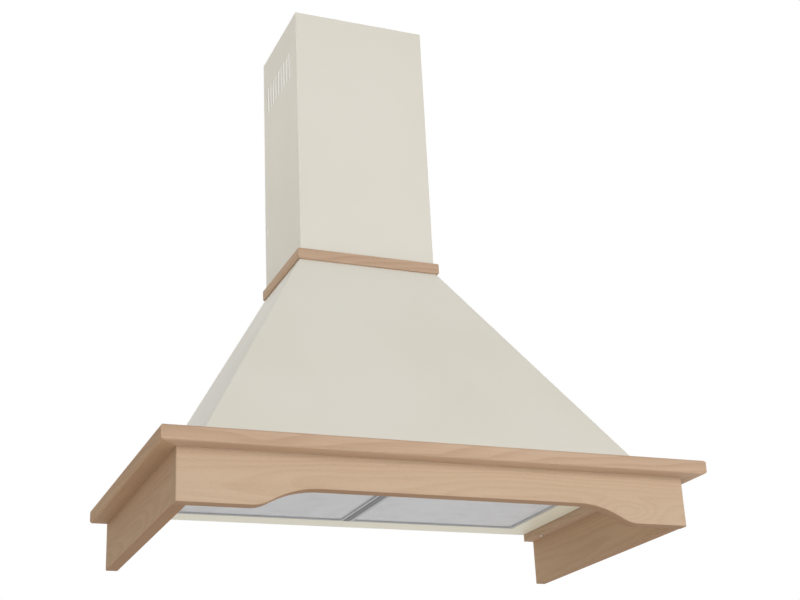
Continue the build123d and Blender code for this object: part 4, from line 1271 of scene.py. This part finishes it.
@dataclass
class Lamp(Assembly):
    """One round lamp in the base panel, with a board of light diodes."""

    side: str = "left"
    face_thick: float = 0.0009
    rim_width: float = 0.0016
    diode_size: float = 0.0030
    diode_height: float = 0.0006
    diode_bevel: float = 0.00025
    rings: tuple[tuple[float, int], ...] = ((0.0, 1), (0.008, 5), (0.016, 10))
    steps: int = 48

    def build(self) -> None:
        """Dress the lamp, turn its cover glass and solder its diodes."""
        self.dress(Metals.chrome, f"lamp_bezel_{self.side}")
        self.dress(Plastics.board, f"lamp_board_{self.side}")
        self.dress(Metals.steel, f"lamp_housing_{self.side}")
        self.add(self._cover(), Plastics.glass, "hood", "lamp_glass", [f"lamp_lens_{self.side}"])
        self.add(self._diodes(), Coats.phosphor, "hood", "board_white")

    def _cover(self) -> bpy.types.Object:
        """Turn the cover glass, a thin face with a raised rim.

        Returns:
            The cover glass.
        """
        low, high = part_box(f"lamp_lens_{self.side}")
        middle = (low + high) / 2
        radius = (high.x - low.x) / 2
        height = high.z - low.z
        inner = radius - self.rim_width
        profile = [(0.0, 0.0), (radius, 0.0), (radius, height), (inner, height)]
        profile += [(inner, self.face_thick), (0.0, self.face_thick)]
        shape = Shape()
        shape.lathe(profile, self.steps, Matrix.Translation((middle.x, middle.y, low.z)))
        return shape.finish(f"lamp_cover_{self.side}")

    def _diodes(self) -> bpy.types.Object:
        """Solder square diodes in rings under the board.

        Returns:
            The diodes.
        """
        low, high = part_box(f"lamp_board_{self.side}")
        middle = (low + high) / 2
        half = self.diode_size / 2
        shape = Shape()
        for radius, count in self.rings:
            for number in range(count):
                turn = 2 * math.pi * number / count
                x = middle.x + radius * math.cos(turn)
                y = middle.y + radius * math.sin(turn)
                under = low.z - self.diode_height
                shape.block(
                    (x - half, y - half, under), (x + half, y + half, low.z), self.diode_bevel
                )
        return shape.finish(f"lamp_diodes_{self.side}")


@dataclass
class Controls(Assembly):
    """Slide controls in the middle of the front strip."""

    mark_thick: float = 0.00012
    digit_height: float = 0.0048
    digit_inset: float = 0.0036
    digit_steps: int = 3
    tick_inset: float = 0.0082
    tick_length: float = 0.0030
    tick_width: float = 0.0006
    rib_pitch: float = 0.0022
    rib_half: float = 0.0005
    rib_reach: float = 0.0030
    rib_height: float = 0.0004
    steps: tuple[tuple[str, str], ...] = (("speed", "0123"), ("light", "01"))

    def build(self) -> None:
        """Dress the controls, print their steps and rib their knobs."""
        self.dress(Plastics.control, "control_plate")
        self.dress(Plastics.black, "control_housing")
        for name, digits in self.steps:
            self.dress(Plastics.black, f"{name}_slider")
            self.add(self._marks(name, digits), Coats.ink, "hood", "control_plastic")
            self.add(self._ribs(name), Plastics.black, f"{name}_slider", "control_plastic")

    def _travel(self, name: str) -> float:
        """How far a slider moves, in metres."""
        joints = {joint["child"]: joint for joint in self.frame["joints"]}
        return float(joints[f"{name}_slider"]["range_m"][1])

    def _marks(self, name: str, digits: str) -> bpy.types.Object:
        """Print a tick and a digit beside each step of a slider.

        Args:
            name: The slider's name.
            digits: One digit for each step.

        Returns:
            The printed marks, as thin plates on the control plate.
        """
        low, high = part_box(f"{name}_slider")
        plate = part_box("control_plate")[0]
        under = plate.z - self.mark_thick
        half = (self.tick_width / 2, self.tick_length / 2)
        shape = Shape()
        for number, digit in enumerate(digits):
            x = (low.x + high.x) / 2 + self._travel(name) * number / (len(digits) - 1)
            y = plate.y + self.tick_inset
            shape.block(
                (x - half[0], y - half[1], under), (x + half[0], y + half[1], plate.z)
            )
            printed = (x, plate.y + self.digit_inset, under + self.mark_thick / 2)
            self._digit(shape, digit, Vector(printed))
        return shape.finish(f"{name}_marks")

    def _digit(self, shape: Shape, digit: str, place: Vector) -> None:
        """Print one digit that is read from below, with its top towards the room.

        Args:
            shape: The marks under construction.
            digit: The digit.
            place: Its middle.
        """
        text = bpy.data.curves.new("digit", "FONT")
        text.body = digit
        text.size = self.digit_height
        text.align_x = "CENTER"
        text.align_y = "CENTER"
        text.extrude = self.mark_thick / 2
        text.resolution_u = self.digit_steps
        holder = bpy.data.objects.new("digit", text)
        bpy.context.scene.collection.objects.link(holder)
        bpy.context.view_layer.update()
        drawn = holder.evaluated_get(bpy.context.evaluated_depsgraph_get())
        data = bpy.data.meshes.new_from_object(drawn)
        data.transform(Matrix.Translation(place) @ Matrix.Rotation(math.pi, 4, "X"))
        shape.mesh.from_mesh(data)
        bpy.data.objects.remove(holder)
        bpy.data.curves.remove(text)
        bpy.data.meshes.remove(data)

    def _ribs(self, name: str) -> bpy.types.Object:
        """Rib the knob of a slider, for the finger.

        Args:
            name: The slider's name.

        Returns:
            The ribs.
        """
        low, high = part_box(f"{name}_slider")
        middle = (low + high) / 2
        shape = Shape()
        for number in (-1, 0, 1):
            x = middle.x + number * self.rib_pitch
            shape.block(
                (x - self.rib_half, middle.y - self.rib_reach, low.z - self.rib_height),
                (x + self.rib_half, middle.y + self.rib_reach, low.z + self.rib_height),
                self.rib_half / 3,
            )
        return shape.finish(f"{name}_ribs")


@dataclass(frozen=True)
class ScrewPlace:
    """Where one screw sits, and its measures."""

    top: Vector
    down: Vector
    head_radius: float
    head_height: float
    shank_radius: float
    length: float


@dataclass
class Screws(Assembly):
    """A set of pan head screws with a cross recess in each head."""

    node: str = "portal_screws"
    body: str = "hood"
    axis: Axis = Axis.Z
    thread_pitch: float = 0.0008
    thread_share: float = 0.84
    tip_share: float = 1.2
    recess_depth: float = 0.0010
    recess_floor: float = 0.00004
    recess_half: float = 0.00042
    recess_taper: float = 0.7
    recess_reach: float = 0.0024
    steps: int = 28
    rim_share: float = 0.9
    shank_shares: Pair = (0.2, 0.8)
    head_shape: tuple[Pair, ...] = (
        (0.0, 0.10),
        (0.55, 0.02),
        (0.72, 0.03),
        (0.90, 0.13),
        (0.98, 0.28),
        (1.0, 0.42),
    )

    def build(self) -> None:
        """Turn each screw and sink the recess in its head, dark with painted shade."""
        turned, sunk = Shape(), Shape()
        for screw in self._screws():
            turn = (-screw.down).to_track_quat("Z", "Y").to_matrix().to_4x4()
            place = Matrix.Translation(screw.top) @ turn
            turned.lathe(self._profile(screw), self.steps, place)
            self._recess(sunk, place)
        screws = turned.finish(f"{self.node}_turned", smooth_below=35.0)
        recesses = sunk.finish(f"{self.node}_recesses")
        self.add(screws, Metals.screw, self.body, "zinc_screw", [self.node])
        self.add(recesses, Metals.recess, self.body, "zinc_screw")

    def _screws(self) -> list[ScrewPlace]:
        """Measure every screw in the solid.

        Returns:
            The screws, in order of place.
        """
        mesh = bmesh.new()
        mesh.from_mesh(self.frame["nodes"][self.node].data)
        bmesh.ops.remove_doubles(mesh, verts=mesh.verts, dist=1e-6)
        left = set(mesh.verts)
        found = []
        while left:
            group: set[bmesh.types.BMVert] = set()
            edge = {next(iter(left))}
            while edge:
                vert = edge.pop()
                group.add(vert)
                edge |= {other for link in vert.link_edges for other in link.verts} - group
            left -= group
            found.append(self._measure([vert.co.copy() for vert in group]))
        mesh.free()
        return sorted(found, key=lambda screw: tuple(screw.top))

    def _measure(self, corners: Sequence[Vector]) -> ScrewPlace:
        """Measure one screw.

        Args:
            corners: The corners of its solid.

        Returns:
            Its place and measures.
        """
        run = self.axis.value[0]
        low = Vector(min(corner[index] for corner in corners) for index in range(3))
        high = Vector(max(corner[index] for corner in corners) for index in range(3))
        middle = (low + high) / 2
        radii = []
        for corner in corners:
            away = corner - middle
            away[run] = 0.0
            radii.append(away.length)
        head_radius = max(radii)
        rim = self.rim_share * head_radius
        head = [corner[run] for corner, radius in zip(corners, radii) if radius > rim]
        is_high = sum(head) / len(head) > middle[run]
        top = middle.copy()
        top[run] = high[run] if is_high else low[run]
        down = Vector((0.0, 0.0, 0.0))
        down[run] = -1.0 if is_high else 1.0
        head_height = max(abs(place - top[run]) for place in head)
        least, most = (share * head_radius for share in self.shank_shares)
        shank = min(radius for radius in radii if least < radius < most)
        return ScrewPlace(top, down, head_radius, head_height, shank, high[run] - low[run])

    def _profile(self, screw: ScrewPlace) -> list[Pair]:
        """Draw half of a screw's section, from the middle of its head to its tip.

        Args:
            screw: The screw's measures.

        Returns:
            Radius and height of each corner, with the top of the head at height 0.
        """
        head, shank = screw.head_radius, screw.shank_radius
        profile = [(radius * head, -depth * head) for radius, depth in self.head_shape]
        profile += [(head, -screw.head_height), (shank, -screw.head_height)]
        threaded = screw.length - screw.head_height - 2 * shank
        for turn in range(max(1, int(threaded / self.thread_pitch))):
            depth = -screw.head_height - self.thread_pitch * (turn + 0.5)
            profile += [(self.thread_share * shank, depth), (shank, depth - self.thread_pitch / 2)]
        tip = screw.length - self.tip_share * shank
        return profile + [(self.thread_share * shank, -tip), (0.0, -screw.length)]

    def _recess(self, shape: Shape, place: Matrix) -> None:
        """Sink the floor of a cross recess into the dished head, as a dark cross of painted shade.

        Args:
            shape: The recesses under construction.
            place: Place and direction of the screw's head.
        """
        half, reach = self.recess_half, self.recess_reach
        taper = self.recess_taper * half
        outline = []
        for quarter in range(4):
            turn = Matrix.Rotation(math.pi / 2 * quarter, 3, "Z")
            for x, y in ((half, half), (reach, taper), (reach, -taper)):
                outline.append(place.to_3x3() @ turn @ Vector((x, y, 0.0)))
        depths = (self.recess_depth, self.recess_floor)
        ends = [place @ Vector((0.0, 0.0, -depth)) for depth in depths]
        shape.ribbon(ends, list(reversed(outline)))


# ------------------------------------------------------------------ studio


@dataclass(frozen=True)
class SoftLamp:
    """A large square studio lamp."""

    name: str
    place: Triple
    size: float
    power: float
    colour: Triple = (1.0, 1.0, 1.0)
    aim: Triple = (0.0, -0.3, 0.4)
    spread: float = 180.0

    def hang(self) -> None:
        """Hang the lamp so that it faces the point it is aimed at."""
        data = bpy.data.lights.new(self.name, "AREA")
        data.shape = "SQUARE"
        data.size = self.size
        data.energy = self.power
        data.color = self.colour
        data.spread = math.radians(self.spread)
        lamp = bpy.data.objects.new(self.name, data)
        lamp.location = self.place
        lamp.rotation_mode = "QUATERNION"
        lamp.rotation_quaternion = (Vector(self.aim) - Vector(self.place)).to_track_quat("-Z", "Y")
        lamp.visible_camera = False
        bpy.context.scene.collection.objects.link(lamp)


@dataclass
class Studio:
    """Camera, lamps, floor and world of a plain, soft studio."""

    camera_place: Triple = (-0.9799, -2.6799, -0.6600)
    camera_yaw: float = 23.104
    camera_pitch: float = 21.779
    camera_roll: float = -2.844
    camera_lens: float = 63.88
    camera_sensor: float = 36.0
    floor_height: float = -3.0
    floor_half: float = 30.0
    floor_bounce: float = 0.85
    floor_glow: float = 0.45
    floor_fade: Pair = (5.0, 20.0)
    floor_grain: float = 3.0
    floor_tones: tuple[Colour, Colour] = (tint(244, 244, 244), tint(250, 250, 250))
    ambient: float = 0.48
    lamps: tuple[SoftLamp, ...] = (
        SoftLamp("key", place=(0.5, -5.2, 0.4), size=2.4, power=125.0),
        SoftLamp(
            "left_fill",
            place=(-5.0, -0.6, 0.2),
            size=3.0,
            power=34.0,
            colour=(1.0, 0.96, 0.88),
        ),
        SoftLamp(
            "chimney_fill",
            place=(-3.0, -0.3, 0.85),
            size=0.6,
            power=0.42,
            colour=(1.0, 0.95, 0.82),
            aim=(0.0, -0.12, 0.80),
            spread=28.0,
        ),
        SoftLamp("right_fill", place=(4.8, 0.6, 1.2), size=3.0, power=36.0),
        SoftLamp("back_fill", place=(3.0, 4.4, 1.5), size=3.0, power=70.0),
        SoftLamp(
            "under_fill",
            place=(0.0, -0.6, -2.6),
            size=3.4,
            power=17.0,
            colour=(1.0, 0.97, 0.90),
        ),
    )

    def build(self) -> None:
        """Set up the whole studio."""
        self._camera()
        self._world()
        self._floor()
        for lamp in self.lamps:
            lamp.hang()
        bpy.context.scene.view_settings.view_transform = "Standard"

    def _camera(self) -> None:
        """Place the camera below the hood, looking up at it from its left."""
        yaw, pitch, roll = map(math.radians, (self.camera_yaw, self.camera_pitch, self.camera_roll))
        reach = math.cos(pitch)
        forward = Vector((math.sin(yaw) * reach, math.cos(yaw) * reach, math.sin(pitch)))
        level = Vector((math.cos(yaw), -math.sin(yaw), 0.0))
        upright = level.cross(forward)
        right = level * math.cos(roll) + upright * math.sin(roll)
        top = upright * math.cos(roll) - level * math.sin(roll)
        data = bpy.data.cameras.new("camera")
        data.lens = self.camera_lens
        data.sensor_width = self.camera_sensor
        holder = bpy.data.objects.new("camera", data)
        turned = Matrix((right, top, -forward)).transposed().to_4x4()
        holder.matrix_world = Matrix.Translation(Vector(self.camera_place)) @ turned
        bpy.context.scene.collection.objects.link(holder)
        bpy.context.scene.camera = holder

    @staticmethod
    def _shown(bench: Bench) -> Wire:
        """Tell apart the rays that show a thing, by eye or in gloss and glass.

        Args:
            bench: The bench of the world's or the floor's material.

        Returns:
            1 for such rays and 0 for others.
        """
        path = bench.node("LightPath")
        shown = Wire(bench, path.outputs["Is Camera Ray"])
        for name in ("Is Glossy Ray", "Is Transmission Ray"):
            shown = bench.maths("MAXIMUM", shown, Wire(bench, path.outputs[name]))
        return shown

    def _world(self) -> None:
        """Make the world white to the eye and softer as a source of light."""
        world = bpy.data.worlds.new("studio")
        world.use_nodes = True
        bpy.context.scene.world = world
        bench = Bench(world.node_tree)
        strength = self.ambient + (1.0 - self.ambient) * self._shown(bench)
        sky = bench.wire("Background", inputs={"Color": WHITE, "Strength": strength})
        bench.node("OutputWorld", inputs={0: sky})

    def _floor(self) -> None:
        """Lay a wide pale floor that keeps the hood's shadow and is clear from below."""
        half = self.floor_half
        corners = [(-half, -half), (half, -half), (half, half), (-half, half)]
        data = bpy.data.meshes.new("floor")
        data.from_pydata([(x, y, self.floor_height) for x, y in corners], [], [(0, 1, 2, 3)])
        floor = bpy.data.objects.new("floor", data)
        bpy.context.scene.collection.objects.link(floor)
        material = bpy.data.materials.new("studio_floor")
        material.use_nodes = True
        bench = Bench(material.node_tree)
        grain = bench.cloud(bench.place(), self.floor_grain, detail=3.0)
        dim = (self.floor_bounce, self.floor_bounce, self.floor_bounce, 1.0)
        dark = bench.wire("BsdfDiffuse", inputs={"Color": dim})
        pale = bench.wire("BsdfDiffuse", inputs={"Color": bench.blend(grain, *self.floor_tones)})
        white = bench.wire("Emission", inputs={"Color": WHITE, "Strength": 1.0})
        x, y, _ = bench.parts(bench.place())
        away = bench.window(bench.maths("SQRT", x * x + y * y), *self.floor_fade)
        fade = self.floor_glow + (1.0 - self.floor_glow) * away
        seen = bench.wire("MixShader", inputs={0: fade, 1: pale, 2: white})
        mixed = bench.wire("MixShader", inputs={0: self._shown(bench), 1: dark, 2: seen})
        clear = bench.wire("BsdfTransparent")
        below = bench.wire("NewGeometry", "Backfacing")
        top = bench.wire("MixShader", inputs={0: below, 1: mixed, 2: clear})
        bench.node("OutputMaterial", inputs={0: top})
        data.materials.append(material)


def main() -> None:
    """Build the scene, one assembly after the other."""
    logging.basicConfig(level=logging.INFO, format="%(message)s")
    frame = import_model()
    assemblies: list[Assembly] = [WoodenPortal(frame), SteelShell(frame)]
    assemblies += [GreaseFilter(frame, side=side) for side in SIDES]
    assemblies += [Blower(frame), DuctCollar(frame)]
    assemblies += [Lamp(frame, side=side) for side in SIDES]
    assemblies += [Controls(frame), Screws(frame), Screws(frame, node="plate_screws")]
    assemblies += [Screws(frame, node="bracket_screws", axis=Axis.X)]
    for assembly in assemblies:
        assembly.build()
        for name in assembly.built:
            LOG.info("%s: %s", type(assembly).__name__, name)
    Studio().build()


if __name__ == "__main__":
    main()
